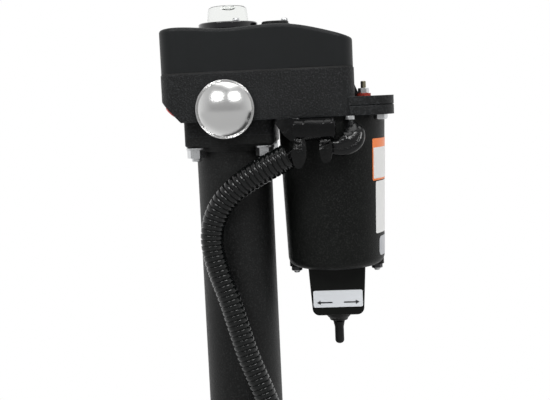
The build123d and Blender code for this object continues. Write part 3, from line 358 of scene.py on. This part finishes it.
makeFinish("tape", (0.0020, 0.0022, 0.0024), 0.3, (0.16, 0.30), grain=210.0, height=0.0005,
           strength=0.6, shader={"Specular IOR Level": 0.24})
makeFinish("tapeThin", (0.0030, 0.0033, 0.0033), 0.4, (0.12, 0.24), grain=260.0, height=0.0010,
           strength=0.9, shader={"Specular IOR Level": 0.24})
makeFinish("cableSkin", (0.0030, 0.0032, 0.0034), 0.25, (0.10, 0.24), grain=420.0, height=0.0003,
           strength=0.6, shader={"Specular IOR Level": 0.36})
makeFinish("conduitPlastic", (0.0030, 0.0037, 0.0036), 0.25, (0.15, 0.25), grain=900.0,
           height=0.00008, strength=0.3, shader={"Specular IOR Level": 0.36})
makeFinish("connectorPlastic", (0.0075, 0.008, 0.008), 0.25, (0.34, 0.50), grain=1500.0,
           strength=0.3, rounding=0.0006, shader={"Specular IOR Level": 0.35})


def makeBoltFinish(name, level):
    # blackened nuts with bare steel tips below the level
    material = finishes["blackOxide"].copy()
    material.name = name
    tree = material.node_tree
    bsdf = tree.nodes["Principled BSDF"]
    coords = addNode(tree, "ShaderNodeTexCoord").outputs["Object"]
    parts = addNode(tree, "ShaderNodeSeparateXYZ")
    tree.links.new(coords, parts.inputs[0])
    tip = spread(tree, parts.outputs["Z"], 1, 0, level - 0.0001, level + 0.0001)
    paint = bsdf.inputs["Base Color"].links[0].from_socket
    tree.links.new(blendColour(tree, tip, paint, (0.62, 0.62, 0.63)), bsdf.inputs["Base Color"])
    tree.links.new(spread(tree, tip, 0.5, 1.0, 0, 1), bsdf.inputs["Metallic"])
    finishes[name] = material


makeBoltFinish("boltTip", 0.4910)

slotFinish = {
    "black_texture": "castBlack", "black_powder": "powderBlack", "motor_black": "motorBlack",
    "cover_black": "coverBlack", "zinc": "zinc", "steel": "steel",
    "bearing_steel": "bearingSteel", "mirror_steel": "mirrorSteel", "black_oxide": "blackOxide",
    "bronze": "bronze", "brass": "brass", "gear_steel": "gearSteel", "copper": "copper",
    "core_steel": "coreSteel", "carbon": "carbon", "ferrite": "ferrite", "phenolic": "phenolic",
    "gasket": "gasket", "rubber_black": "rubber", "guide_plastic": "guidePlastic",
    "bush_plastic": "bushPlastic", "red_clear": "redLens", "level_body": "levelBase",
    "level_clear": "clearDome", "red_fibre": "redFibre", "switch_plastic": "switchPlastic",
    "label_film": "labelFilm", "tape": "tape", "cable_jacket": "cableSkin",
    "conduit": "conduitPlastic", "connector": "connectorPlastic",
}

for part in frame["record"]["subparts"]:
    node = frame["nodes"][part["node"]]
    node.data.materials.clear()
    node.data.materials.append(finishes[slotFinish[part["material_slot"]]])
frame["nodes"]["terminal_stud"].data.materials[0] = finishes["passivated"]
frame["nodes"]["through_bolts"].data.materials[0] = finishes["boltTip"]
print("finishes made and given to the nodes")

# Conduit: one ring, repeated and bent along its route, down to a coil on the floor

conduit = {
    "diameter": 0.0186,
    "groove": 0.0164,
    "pitch": 0.0043,
    "ringSides": 24,
    "swell": (1.14, 1.15, 1.12, 1.07, 1.03),  # the split tube stands open at its top
    "coil": (0.200, 0.010),
    "outerTurn": 0.1001,
    "innerTurn": 0.0812,
    "height": 0.0093,
    "coilStart": -80.0,
    "coilStep": 20.0,  # degrees, 18 steps to a turn
    "coilSteps": 28,
    "tuckFrom": 150.0,  # where the coil starts to wind inwards, and over how many degrees
    "tuckOver": 110.0,
    "tailTurn": 0.0460,
    "tailAngles": (100.0, 120.0, 140.0, 160.0, 175.0),
    "end": (0.154, 0.0447),
}

conduitRoute = [
    (0.0502, -0.0574, 0.5932), (0.0312, -0.0546, 0.5842), (0.0095, -0.0520, 0.5715),
    (-0.0070, -0.0500, 0.5560), (-0.0152, -0.0490, 0.5390), (-0.0168, -0.0485, 0.5205),
    (-0.0115, -0.0485, 0.4985), (-0.0040, -0.0488, 0.4770), (0.0025, -0.0493, 0.4520),
    (0.0095, -0.0503, 0.4270), (0.0185, -0.0516, 0.4040), (0.0280, -0.0538, 0.3780),
    (0.0350, -0.0570, 0.3460), (0.0390, -0.0610, 0.3100), (0.0410, -0.0655, 0.2700),
    (0.0415, -0.0710, 0.2280), (0.0410, -0.0765, 0.1860), (0.0405, -0.0815, 0.1440),
    (0.0410, -0.0855, 0.1100), (0.0435, -0.0878, 0.0790), (0.0600, -0.0893, 0.0498),
    (0.0865, -0.0893, 0.0228), (0.1205, -0.0893, 0.0093), (0.1400, -0.0893, 0.0093),
    (0.1700, -0.0897, 0.0093),
]


def coilPoints():
    centreX, centreY = conduit["coil"]
    points = []
    for step in range(conduit["coilSteps"]):
        angle = conduit["coilStart"] + conduit["coilStep"] * step
        inward = min(max((angle - conduit["tuckFrom"]) / conduit["tuckOver"], 0.0), 1.0)
        ease = inward * inward * (3 - 2 * inward)
        radius = conduit["outerTurn"] + (conduit["innerTurn"] - conduit["outerTurn"]) * ease
        turn = math.radians(angle)
        place = (centreX + radius * math.cos(turn), centreY + radius * math.sin(turn))
        points.append((*place, conduit["height"]))
    radius = conduit["tailTurn"]
    for angle in conduit["tailAngles"]:
        turn = math.radians(angle)
        points.append((
            centreX + radius * math.cos(turn),
            conduit["end"][1] + radius * math.sin(turn),
            conduit["height"],
        ))
    points.append((*conduit["end"], conduit["height"]))
    return points


def conduitRing():
    bm = bmesh.new()
    crest = conduit["diameter"] / 2
    groove = conduit["groove"] / 2
    pitch = conduit["pitch"]
    profile = (
        (groove, 0.0), (groove, 0.12), (crest - 0.00035, 0.17), (crest, 0.27), (crest, 0.85),
        (crest - 0.00035, 0.95), (groove, 1.0),
    )
    turned(
        bm, [(r, share * pitch) for r, share in profile], Matrix.Rotation(math.pi / 2, 4, "Y"),
        conduit["ringSides"],
    )
    return addPiece(bm, "conduitRing")


conduitLine = splineFrom(conduitRoute + coilPoints(), "conduitLine", swell=conduit["swell"])
conduitPath = [v.co.copy() for v in meshOf(conduitLine).vertices]
conduitLength = sum((b - a).length for a, b in zip(conduitPath, conduitPath[1:]))


def addConduit():
    ring = conduitRing()
    rings = ring.modifiers.new("rings", "ARRAY")
    rings.use_relative_offset = False
    rings.use_constant_offset = True
    rings.constant_offset_displace = (conduit["pitch"], 0, 0)
    rings.count = int(conduitLength / conduit["pitch"])
    rings.use_merge_vertices = True
    rings.merge_threshold = 0.00005
    bend = ring.modifiers.new("bend", "CURVE")
    bend.object = conduitLine
    bend.deform_axis = "POS_X"
    bm = bmesh.new()
    bm.from_mesh(meshOf(ring))
    drop(ring)
    rims = [e for e in bm.edges if e.is_boundary]
    bmesh.ops.holes_fill(bm, edges=rims, sides=0)
    piece = addPiece(bm, "conduit_tube", crease=60.0)
    piece.data.materials.append(finishes["conduitPlastic"])
    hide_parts("power_conduit", "conduit_coil")
    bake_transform(piece)


addConduit()
drop(conduitLine)
print("conduit bent, length", round(conduitLength, 3))

# Strap that ties the two turns of the coil

tie = {
    "width": 0.0052, "thick": 0.0011, "inner": 0.0708, "outer": 0.1090, "low": 0.0014,
    "high": 0.0190, "play": 0.0010, "lift": 0.0003, "corner": 0.0062,
    "head": (0.0085, 0.0078, 0.0042), "headRise": 0.0014, "headEdge": 0.0008,
}


def addCoilTie():
    centreX, centreY = conduit["coil"]
    bm = bmesh.new()
    made = bmesh.ops.create_cube(bm, size=1.0)
    across = tie["outer"] - tie["inner"] + 2 * tie["play"]
    size = (across, tie["width"], tie["high"] - tie["low"])
    middle = (tie["outer"] + tie["inner"]) / 2
    level = (tie["high"] + tie["low"]) / 2 + tie["lift"]
    place = Matrix.Translation((centreX + middle, centreY, level))
    bmesh.ops.transform(bm, matrix=place @ Matrix.Diagonal((*size, 1.0)), verts=made["verts"])
    ends = [f for f in bm.faces if abs(f.normal.y) > 0.9]
    bmesh.ops.delete(bm, geom=ends, context="FACES")
    corners = [
        e for e in bm.edges if abs((e.verts[0].co - e.verts[1].co).y) > tie["width"] * 0.75
    ]
    bmesh.ops.bevel(
        bm, geom=corners, offset=tie["corner"], segments=6, profile=0.5, affect="EDGES", material=-1
    )
    bmesh.ops.recalc_face_normals(bm, faces=bm.faces)
    bmesh.ops.solidify(bm, geom=list(bm.faces), thickness=-tie["thick"])
    head = bmesh.ops.create_cube(bm, size=1.0)
    place = Matrix.Translation((centreX + middle, centreY, tie["high"] + tie["headRise"]))
    bmesh.ops.transform(
        bm, matrix=place @ Matrix.Diagonal((*tie["head"], 1.0)), verts=head["verts"]
    )
    rim = [e for e in bm.edges if e.verts[0] in head["verts"]]
    bmesh.ops.bevel(
        bm, geom=rim, offset=tie["headEdge"], segments=2, profile=0.5, affect="EDGES", material=-1
    )
    dress(addPiece(bm, "coil_tie"), "foot", "rubber")


addCoilTie()
print("coil tied")

# Cable loop, from the tape up to the ferrule under the motor plate

cableLoop = {
    "diameter": 0.0078,
    "swell": (1.0, 1.06, 1.08, 1.02, 0.95, 0.80, 0.76),
    "route": [
        (0.0765, -0.0592, axisZ - 0.0260), (0.0810, -0.0592, axisZ - 0.0350),
        (0.0950, -0.0600, axisZ - 0.0375), (0.1065, -0.0585, axisZ - 0.0310),
        (0.1070, -0.0535, axisZ - 0.0195), (0.0992, -0.0464, axisZ - 0.0215),
        (0.0992, -0.0464, axisZ - 0.0096),
    ],
}


def addCableLoop():
    piece = splineFrom(
        cableLoop["route"], "cable_loop_run", cableLoop["diameter"] / 2, cableLoop["swell"]
    )
    dress(piece, "jack_body", "cableSkin", ("cable_loop",))


addCableLoop()
print("cable loop laid")

# Dust cap: one spun, polished shell on the boss

dustCap = {"radius": 0.0236, "lip": 0.0016, "face": -0.0530, "rim": 0.0018, "dome": 0.0095}


def addDustCap():
    bm = bmesh.new()
    radius, rim, dome = dustCap["radius"], dustCap["rim"], dustCap["dome"]
    shell = radius - dustCap["lip"]
    ball = (shell * shell + dome * dome) / (2 * dome)
    profile = [(0.0, 0.0), (radius - 0.0003, 0.0), (radius, 0.0003)]
    for bead, reach in ((radius - 0.00045, 0.00045), (radius - 0.00125, 0.00030)):
        for step in range(7):
            lean = math.pi * step / 6
            profile.append((bead + reach * math.cos(lean), rim - 0.0005 + reach * math.sin(lean)))
    reach = math.asin(shell / ball)
    for step in range(24, -1, -1):
        lean = reach * step / 24
        rise = rim - 0.0004 + dome - (ball - ball * math.cos(lean))
        profile.append((ball * math.sin(lean), rise))
    place = Matrix.Translation((0, dustCap["face"], axisZ)) @ Matrix.Rotation(math.pi / 2, 4, "X")
    turned(bm, profile, place, 128)
    dress(addPiece(bm, "dust_cap"), "jack_body", "mirrorSteel", ("side_cap",))


addDustCap()

# Round level: clear cap with its bubble

level = {
    "radius": 0.0175, "topRadius": 0.0160, "seat": 0.7021, "top": 0.7181, "corner": 0.0036,
    "bubble": 0.0046, "bubblePlace": (0.001, -0.002), "bubbleDepth": 0.0030, "bubbleFlat": 0.34,
}


def addLevelDome():
    bm = bmesh.new()
    radius, seat, top = level["radius"], level["seat"], level["top"]
    corner = level["corner"]
    profile = [(0.0, seat), (radius - 0.0003, seat), (radius, seat + 0.0003)]
    for step in range(13):
        lean = math.radians(7.0 + 83.0 * step / 12)
        reach = level["topRadius"] + 0.0004 - corner
        profile.append((
            reach + corner * math.cos(lean), top - corner - 0.0006 + corner * math.sin(lean),
        ))
    profile.append((0.0, top))
    turned(bm, profile, Matrix.Identity(4), 96)
    dress(addPiece(bm, "level_cap"), "jack_body", "clearDome", ("level_dome",))
    bm = bmesh.new()
    made = bmesh.ops.create_uvsphere(bm, u_segments=36, v_segments=18, radius=level["bubble"])
    place = Matrix.Translation((*level["bubblePlace"], top - level["bubbleDepth"]))
    flat = Matrix.Diagonal((1, 1, level["bubbleFlat"], 1))
    bmesh.ops.transform(bm, matrix=place @ flat, verts=made["verts"])
    dress(addPiece(bm, "level_bubble"), "jack_body", "bubbleAir")


addLevelDome()
print("cap and level turned")

# Arrows on the switch label, one each way

arrows = {
    "front": -0.0217, "height": 0.4658, "tail": 0.0048, "length": 0.0130, "thick": 0.00018,
    "headLength": 0.0030, "headHalf": 0.0018, "shaftHalf": 0.0005,
}


def addArrows():
    bm = bmesh.new()
    length, head = arrows["length"], arrows["headLength"]
    wide, thin = arrows["headHalf"], arrows["shaftHalf"]
    outline = (
        (0.0, 0.0), (head, wide), (head, thin), (length, thin), (length, -thin), (head, -thin),
        (head, -wide),
    )
    for way in (-1, 1):
        tip = motorX + way * (arrows["tail"] + length)
        verts = [
            bm.verts.new((tip - way * x, arrows["front"], arrows["height"] + z))
            for x, z in outline
        ]
        face = bm.faces.new(verts)
        lifted = bmesh.ops.extrude_face_region(bm, geom=[face])
        moved = [v for v in lifted["geom"] if isinstance(v, bmesh.types.BMVert)]
        bmesh.ops.translate(bm, vec=(0, -arrows["thick"], 0), verts=moved)
    dress(addPiece(bm, "label_arrows"), "jack_body", "arrowInk")


addArrows()

# Rubber boot round the switch's bush

boot = {
    "top": 0.4545, "y": -0.0010, "inside": 0.0066, "lip": 0.0005,
    "outside": (  # radius and height, from the top down to the lip
        (0.0116, 0.0), (0.0119, -0.0009), (0.0117, -0.0019), (0.0110, -0.0033),
        (0.0098, -0.0047), (0.0085, -0.0060), (0.0079, -0.0068), (0.0077, -0.0077),
        (0.0073, -0.0080),
    ),
}


def addBoot():
    bm = bmesh.new()
    inside, opening = boot["inside"], boot["inside"] + boot["lip"]
    outline = [
        *boot["outside"], (opening, -0.0076), (opening, -0.0030), (inside, -0.0002),
        (inside, 0.0), boot["outside"][0],
    ]
    turned(bm, outline, Matrix.Translation((motorX, boot["y"], boot["top"])), 64)
    dress(addPiece(bm, "toggle_boot"), "jack_body", "rubber", ("switch_boot",))


addBoot()

# Labels on the motor's can, left blank

motorCan = {"top": 0.6224, "low": 0.4955, "topRadius": 0.0450, "lowRadius": 0.0410, "film": 0.00022}

canLabels = (  # name, finish, start, stop, low edge, high edge, lift, corner
    ("can_label_band", "labelOrange", -42, 52, 0.5680, 0.6026, 0.0002, 0.0012),
    ("can_label_blank", "labelWhite", -40.5, 50.5, 0.5696, 0.5952, 0.0004, 0.0006),
    ("can_label_long", "labelWhite", -36.5, 46, 0.5236, 0.5672, 0.0002, 0.0015),
    ("can_label_small", "labelGrey", -29, 20, 0.5042, 0.5205, 0.0002, 0.0035),
)


def canRadius(height):
    share = (motorCan["top"] - height) / (motorCan["top"] - motorCan["low"])
    return motorCan["topRadius"] + (motorCan["lowRadius"] - motorCan["topRadius"]) * share


def addCanLabel(name, finishName, start, stop, low, high, lift, corner):
    # start and stop are degrees round the motor from its right side, negative towards the front
    bm = bmesh.new()
    made = bmesh.ops.create_grid(bm, x_segments=1, y_segments=1, size=0.5)
    radius = canRadius((low + high) / 2)
    width = math.radians(stop - start) * radius
    bmesh.ops.transform(bm, matrix=Matrix.Diagonal((width, high - low, 1, 1)), verts=made["verts"])
    bmesh.ops.bevel(
        bm, geom=list(bm.verts), offset=corner, segments=5, profile=0.5, affect="VERTICES",
        material=-1,
    )
    for step in range(1, 24):
        cut = -width / 2 + width * step / 24
        bmesh.ops.bisect_plane(
            bm, geom=bm.verts[:] + bm.edges[:] + bm.faces[:], dist=1e-7, plane_co=(cut, 0, 0),
            plane_no=(1, 0, 0),
        )
    middle = math.radians((start + stop) / 2)
    for vert in bm.verts:
        height = (low + high) / 2 + vert.co.y
        angle = middle + vert.co.x / radius
        reach = canRadius(height) + lift
        vert.co = (motorX + reach * math.cos(angle), reach * math.sin(angle), height)
    bmesh.ops.recalc_face_normals(bm, faces=bm.faces)
    if bm.faces[0].normal.dot(bm.faces[0].calc_center_median() - Vector((motorX, 0, high))) < 0:
        bmesh.ops.reverse_faces(bm, faces=bm.faces)
    bmesh.ops.solidify(bm, geom=list(bm.faces), thickness=motorCan["film"])
    dress(addPiece(bm, name), "jack_body", finishName)


for row in canLabels:
    addCanLabel(*row)
print("labels wrapped round the motor")

# Taped loom under the head

loom = {
    "left": 0.0530, "right": 0.0875, "y": -0.0592, "z": 0.6134, "radius": 0.0090,
    "wraps": 2.2, "lap": 0.0005, "endRound": 0.003, "pole": 0.0005, "wrinkle": 0.0007,
    "rolledEdge": 0.0856, "edgeWidth": 0.0011, "tight": 0.0003, "roof": 0.0084, "front": 0.86,
}


def addLoom():
    bm = bmesh.new()
    profile = [(0.0, -loom["pole"])]
    reach = loom["right"] - loom["left"]
    for step in range(57):
        share = step / 56
        end = min(share, 1 - share) * reach
        swell = math.sqrt(max(0.0, 1 - max(0.0, 1 - end / loom["endRound"]) ** 2))
        profile.append((loom["radius"] * (0.66 + 0.34 * swell), share * reach))
    profile.append((0.0, reach + loom["pole"]))
    along = Matrix.Rotation(math.pi / 2, 4, "Y")
    turned(bm, profile, Matrix.Translation((loom["left"], loom["y"], loom["z"])) @ along, 72)
    centre = Vector((0, loom["y"], loom["z"]))
    for vert in bm.verts:
        out = Vector((0, vert.co.y, vert.co.z)) - centre
        if out.length < 0.002:  # the poles stay put
            continue
        share = (vert.co.x - loom["left"]) / reach
        angle = math.atan2(out.z, out.y) / math.tau
        lap = (share * loom["wraps"] + angle) % 1.0
        grow = loom["lap"] * (1 - lap) - loom["tight"]
        creases = noise.noise(Vector((vert.co.x * 45, out.y * 90, out.z * 90)))
        bead = math.exp(-((vert.co.x - loom["rolledEdge"]) / loom["edgeWidth"]) ** 2)
        grow += loom["wrinkle"] * (creases + bead)
        vert.co += out.normalized() * grow
        roof = loom["z"] + loom["roof"]
        if vert.co.z > roof:  # the top lies against the casting
            vert.co.z = roof + (vert.co.z - roof) * 0.1
        flat = loom["y"] - loom["radius"] * loom["front"]
        if vert.co.y < flat:  # the front is pressed nearly flat
            vert.co.y = flat + (vert.co.y - flat) * 0.22
    dress(addPiece(bm, "loom_wrap", crease=50.0), "jack_body", "tape", ("taped_loom",))


# The loom's two leads: up to the inlet in the plate, and down into the conduit

loomLeads = {
    "loom_lead_inlet": (0.0026, [
        (0.0560, -0.0450, 0.6226), (0.0560, -0.0452, 0.6160), (0.0575, -0.0500, 0.6130),
        (0.0620, -0.0560, 0.6130),
    ]),
    "loom_lead_conduit": (0.0032, [
        (0.0420, -0.0562, 0.5893), (0.0502, -0.0574, 0.5932), (0.0560, -0.0590, 0.5972),
        (0.0580, -0.0605, 0.6035), (0.0600, -0.0600, 0.6100),
    ]),
}


def addLoomLeads():
    for name, (radius, points) in loomLeads.items():
        line = splineFrom(points, name + "_line", radius)
        mesh = meshOf(line)
        drop(line)
        dress(addMesh(mesh, name), "jack_body", "cableSkin")


# Loose ends of tape: two tongues that hang from the wrap and a flap at its side

tapeEnds = {
    "film": 0.00025, "crumple": 0.0009, "cup": 0.0026, "lean": 0.0008, "halfWidth": 0.0055,
    "face": -0.0673,  # the wrap's front, from which the rows are measured
    "strips": (  # name, finish, direction across, rows of (x, y from the face, z, width)
        ("tape_tongue_left", "tapeThin", (1, 0.12, 0.1), [
            (0.0590, 0.0026, 0.6075, 0.0070), (0.0590, 0.0010, 0.6030, 0.0096),
            (0.0586, -0.0002, 0.5975, 0.0112), (0.0582, 0.0000, 0.5915, 0.0110),
            (0.0579, 0.0008, 0.5868, 0.0086), (0.0577, 0.0014, 0.5840, 0.0050),
            (0.0576, 0.0016, 0.5830, 0.0014),
        ]),
        ("tape_tongue_right", "tapeThin", (1, -0.1, 0.05), [
            (0.0792, 0.0026, 0.6050, 0.0080), (0.0792, 0.0008, 0.5995, 0.0100),
            (0.0793, 0.0002, 0.5945, 0.0098), (0.0794, 0.0006, 0.5900, 0.0080),
            (0.0794, 0.0010, 0.5878, 0.0050), (0.0794, 0.0012, 0.5869, 0.0016),
        ]),
        ("tape_flap_left", "tape", (0.1, 0.1, 1), [
            (0.0570, 0.0016, 0.6133, 0.0180), (0.0525, 0.0010, 0.6140, 0.0172),
            (0.0480, 0.0016, 0.6158, 0.0136), (0.0440, 0.0034, 0.6182, 0.0088),
            (0.0405, 0.0060, 0.6205, 0.0036),
        ]),
    ),
}


def addTapeEnds():
    for name, finishName, across, rows in tapeEnds["strips"]:
        bm = bmesh.new()
        bentStrip(bm, [(x, tapeEnds["face"] + y, z, width) for x, y, z, width in rows], across)
        bmesh.ops.subdivide_edges(bm, edges=list(bm.edges), cuts=3, use_grid_fill=True, smooth=0.8)
        for vert in bm.verts:
            vert.co.y += tapeEnds["crumple"] * noise.noise(vert.co * 260)
            if finishName == "tapeThin":  # the tongues are cupped, with their edges forward
                aside = (vert.co.x - rows[2][0]) / tapeEnds["halfWidth"]
                vert.co.y -= tapeEnds["cup"] * aside * aside + tapeEnds["lean"] * aside
        bmesh.ops.recalc_face_normals(bm, faces=bm.faces)
        bmesh.ops.solidify(bm, geom=list(bm.faces), thickness=tapeEnds["film"])
        dress(addPiece(bm, name, crease=70.0), "jack_body", finishName)


# Tape wound flat over the cable loop

loopTape = {
    "sides": 28, "rings": 48, "crease": 0.10, "lap": 0.07, "ringsPerLap": 9.0,
    "stations": (  # x, y, z, half width, half depth
        (0.0773, -0.0596, axisZ - 0.0286, 0.0027, 0.0027),
        (0.0844, -0.0606, axisZ - 0.0312, 0.0040, 0.0034),
        (0.0917, -0.0608, axisZ - 0.0311, 0.0050, 0.0037),
        (0.0975, -0.0600, axisZ - 0.0283, 0.0061, 0.0039),
        (0.1003, -0.0574, axisZ - 0.0234, 0.0068, 0.0039),
        (0.1004, -0.0530, axisZ - 0.0186, 0.0054, 0.0038),
        (0.0998, -0.0490, axisZ - 0.0155, 0.0040, 0.0034),
        (0.0993, -0.0467, axisZ - 0.0134, 0.0030, 0.0030),
    ),
}


def smoothRun(stations, count):
    # rows of values eased through the stations
    rows = []
    last = len(stations) - 1
    for step in range(count + 1):
        reach = step / count * last
        index = min(int(reach), last - 1)
        near = [stations[min(max(index + k, 0), last)] for k in (-1, 0, 1, 2)]
        t = reach - index
        rows.append([
            0.5 * (2 * b + (c - a) * t + (2 * a - 5 * b + 4 * c - d) * t * t
                   + (3 * b - a - 3 * c + d) * t ** 3)
            for a, b, c, d in zip(*near)
        ])
    return rows


def addLoopTape():
    bm = bmesh.new()
    sides, count = loopTape["sides"], loopTape["rings"]
    rows = smoothRun(loopTape["stations"], count)
    previous = None
    for step, (x, y, z, wide, deep) in enumerate(rows):
        ahead, behind = rows[min(step + 1, count)], rows[max(step - 1, 0)]
        along = Vector((ahead[0] - behind[0], 0, ahead[2] - behind[2])).normalized()
        outward = Vector((along.z, 0, -along.x))
        circle = bmesh.ops.create_circle(bm, segments=sides, radius=1.0)["verts"]
        for side, vert in enumerate(circle):
            angle = math.tau * side / sides
            ridge = noise.noise(Vector((step * 0.22, math.cos(angle) * 1.6, math.sin(angle) * 1.6)))
            lap = (step / loopTape["ringsPerLap"] + side / sides) % 1.0
            grow = 1.0 + loopTape["crease"] * ridge + loopTape["lap"] * (1 - lap)
            vert.co = Vector((x, y, z)) + outward * (wide * grow * math.cos(angle))
            vert.co.y += deep * grow * math.sin(angle)
        loop = list({e for v in circle for e in v.link_edges})
        if previous:
            bmesh.ops.bridge_loops(bm, edges=previous + loop)
        previous = loop
    bmesh.ops.holes_fill(bm, edges=[e for e in bm.edges if e.is_boundary], sides=0)
    dress(addPiece(bm, "loop_tape", crease=70.0), "jack_body", "cableSkin")


# Rolled edges of tape where the two cables leave the wrap

eyelets = {
    "bead": 0.0007, "tilt": 38, "narrow": 0.8, "crumple": 0.0004,
    "spots": (  # name, place, radius, lean
        ("tape_eyelet_left", (0.0578, -0.0650, 0.6055), 0.0035, 25.0),
        ("tape_eyelet_right", (0.0790, -0.0645, 0.6048), 0.0043, -12.0),
    ),
}


def addTapeEyelets():
    bead = eyelets["bead"]
    tilt = Matrix.Rotation(math.radians(eyelets["tilt"]), 4, "X")
    for name, place, radius, lean in eyelets["spots"]:
        bm = bmesh.new()
        outline = [
            (radius + bead * math.cos(math.tau * k / 10), bead * math.sin(math.tau * k / 10))
            for k in range(11)
        ]
        turn = tilt @ Matrix.Rotation(math.radians(lean), 4, "Y")
        oval = Matrix.Diagonal((1, eyelets["narrow"], 1, 1))
        turned(bm, outline, Matrix.Translation(place) @ turn @ oval, 40)
        for vert in bm.verts:
            vert.co += vert.co.normalized() * eyelets["crumple"] * noise.noise(vert.co * 300)
        dress(addPiece(bm, name), "jack_body", "cableSkin")


addLoom()
addLoomLeads()
addTapeEnds()
addLoopTape()
addTapeEyelets()
print("loom wrapped")

# Studio: pale floor, soft lamps, white beyond

studio = {
    "floor": 6.0, "near": 0.55, "far": 1.05, "front": 0.37, "back": 1.0, "above": 0.62,
    "floorFront": 0.56,
    "lamps": {  # place, aim, size, power
        "lampLeft": ((-0.62, -1.12, 1.64), (0.03, 0, 0.55), (0.70, 0.44), 12.0),
        "lampRight": ((0.72, -1.12, 1.64), (0.05, 0, 0.50), (0.70, 0.44), 12.0),
        "lampTop": ((0.1, 0.1, 2.3), (0.03, 0, 0.50), (1.4, 1.2), 9.0),
    },
}


def addFloor():
    bm = bmesh.new()
    bmesh.ops.create_grid(bm, x_segments=1, y_segments=1, size=studio["floor"])
    bmesh.ops.translate(bm, vec=(0, 0, -0.0002), verts=bm.verts)
    floor = addPiece(bm, "studio_floor", smooth=False)
    material = bpy.data.materials.new("paleFloor")
    material.use_nodes = True
    tree = material.node_tree
    tree.nodes.clear()
    links = tree.links
    coords = addNode(tree, "ShaderNodeTexCoord").outputs["Object"]
    reach = addNode(tree, "ShaderNodeVectorMath", operation="LENGTH")
    links.new(coords, reach.inputs[0])
    away = spread(tree, reach.outputs["Value"], 0.0, 1.0, studio["near"], studio["far"])
    seen = rayMask(tree)
    both = addNode(tree, "ShaderNodeMath", operation="MULTIPLY")
    links.new(away, both.inputs[0])
    links.new(seen, both.inputs[1])
    parts = addNode(tree, "ShaderNodeSeparateXYZ")
    links.new(coords, parts.inputs[0])
    ahead = spread(tree, parts.outputs["Y"], 1, 0, -0.20, 0.0)
    mirrored = addNode(tree, "ShaderNodeMath", operation="MULTIPLY")
    links.new(ahead, mirrored.inputs[0])
    links.new(addNode(tree, "ShaderNodeLightPath").outputs["Is Glossy Ray"], mirrored.inputs[1])
    either = addNode(tree, "ShaderNodeMath", operation="MAXIMUM")
    links.new(both.outputs[0], either.inputs[0])
    links.new(mirrored.outputs[0], either.inputs[1])
    matt = addNode(tree, "ShaderNodeBsdfDiffuse")
    matt.inputs["Color"].default_value = (0.86, 0.86, 0.86, 1)
    white = addNode(tree, "ShaderNodeEmission")
    shade = spread(tree, parts.outputs["Y"], studio["floorFront"], 1.0, -0.4, 0.5)
    glow = addNode(tree, "ShaderNodeMath", operation="MAXIMUM")
    links.new(shade, glow.inputs[0])
    links.new(rayMask(tree, glossy=False), glow.inputs[1])
    links.new(glow.outputs[0], white.inputs["Strength"])
    mix = addNode(tree, "ShaderNodeMixShader")
    links.new(either.outputs[0], mix.inputs[0])
    links.new(matt.outputs[0], mix.inputs[1])
    links.new(white.outputs[0], mix.inputs[2])
    out = addNode(tree, "ShaderNodeOutputMaterial")
    links.new(mix.outputs[0], out.inputs["Surface"])
    floor.data.materials.append(material)


def rayMask(tree, glossy=True):
    rays = addNode(tree, "ShaderNodeLightPath")
    total = rays.outputs["Is Camera Ray"]
    for name in ("Is Glossy Ray", "Is Transmission Ray") if glossy else ("Is Transmission Ray",):
        added = addNode(tree, "ShaderNodeMath", operation="MAXIMUM")
        tree.links.new(total, added.inputs[0])
        tree.links.new(rays.outputs[name], added.inputs[1])
        total = added.outputs[0]
    return total


def addWorld():
    world = bpy.data.worlds.new("studio")
    world.use_nodes = True
    scene.world = world
    tree = world.node_tree
    links = tree.links
    glow = tree.nodes["Background"]
    glow.inputs["Color"].default_value = (1, 1, 1, 1)
    coords = addNode(tree, "ShaderNodeTexCoord").outputs["Generated"]
    parts = addNode(tree, "ShaderNodeSeparateXYZ")
    links.new(coords, parts.inputs[0])
    fromFront = spread(tree, parts.outputs["Y"], studio["front"], studio["back"], -0.75, 0.35)
    fromTop = spread(tree, parts.outputs["Z"], 1.0, studio["above"], 0.25, 0.95)
    soft = addNode(tree, "ShaderNodeMath", operation="MULTIPLY")
    links.new(fromFront, soft.inputs[0])
    links.new(fromTop, soft.inputs[1])
    seen = addNode(tree, "ShaderNodeMath", operation="MAXIMUM")
    links.new(soft.outputs[0], seen.inputs[0])
    links.new(rayMask(tree, glossy=False), seen.inputs[1])
    links.new(seen.outputs[0], glow.inputs["Strength"])


def addLamp(name, place, aim, size, power):
    light = bpy.data.lights.new(name, "AREA")
    light.shape = "RECTANGLE"
    light.size, light.size_y = size
    light.energy = power
    lamp = bpy.data.objects.new(name, light)
    turn = (Vector(aim) - Vector(place)).to_track_quat("-Z", "Y").to_matrix().to_4x4()
    lamp.matrix_world = Matrix.Translation(place) @ turn
    scene.collection.objects.link(lamp)


addFloor()
addWorld()
for lampName, lampValues in studio["lamps"].items():
    addLamp(lampName, *lampValues)
scene.view_settings.view_transform = "Standard"
print("studio set")
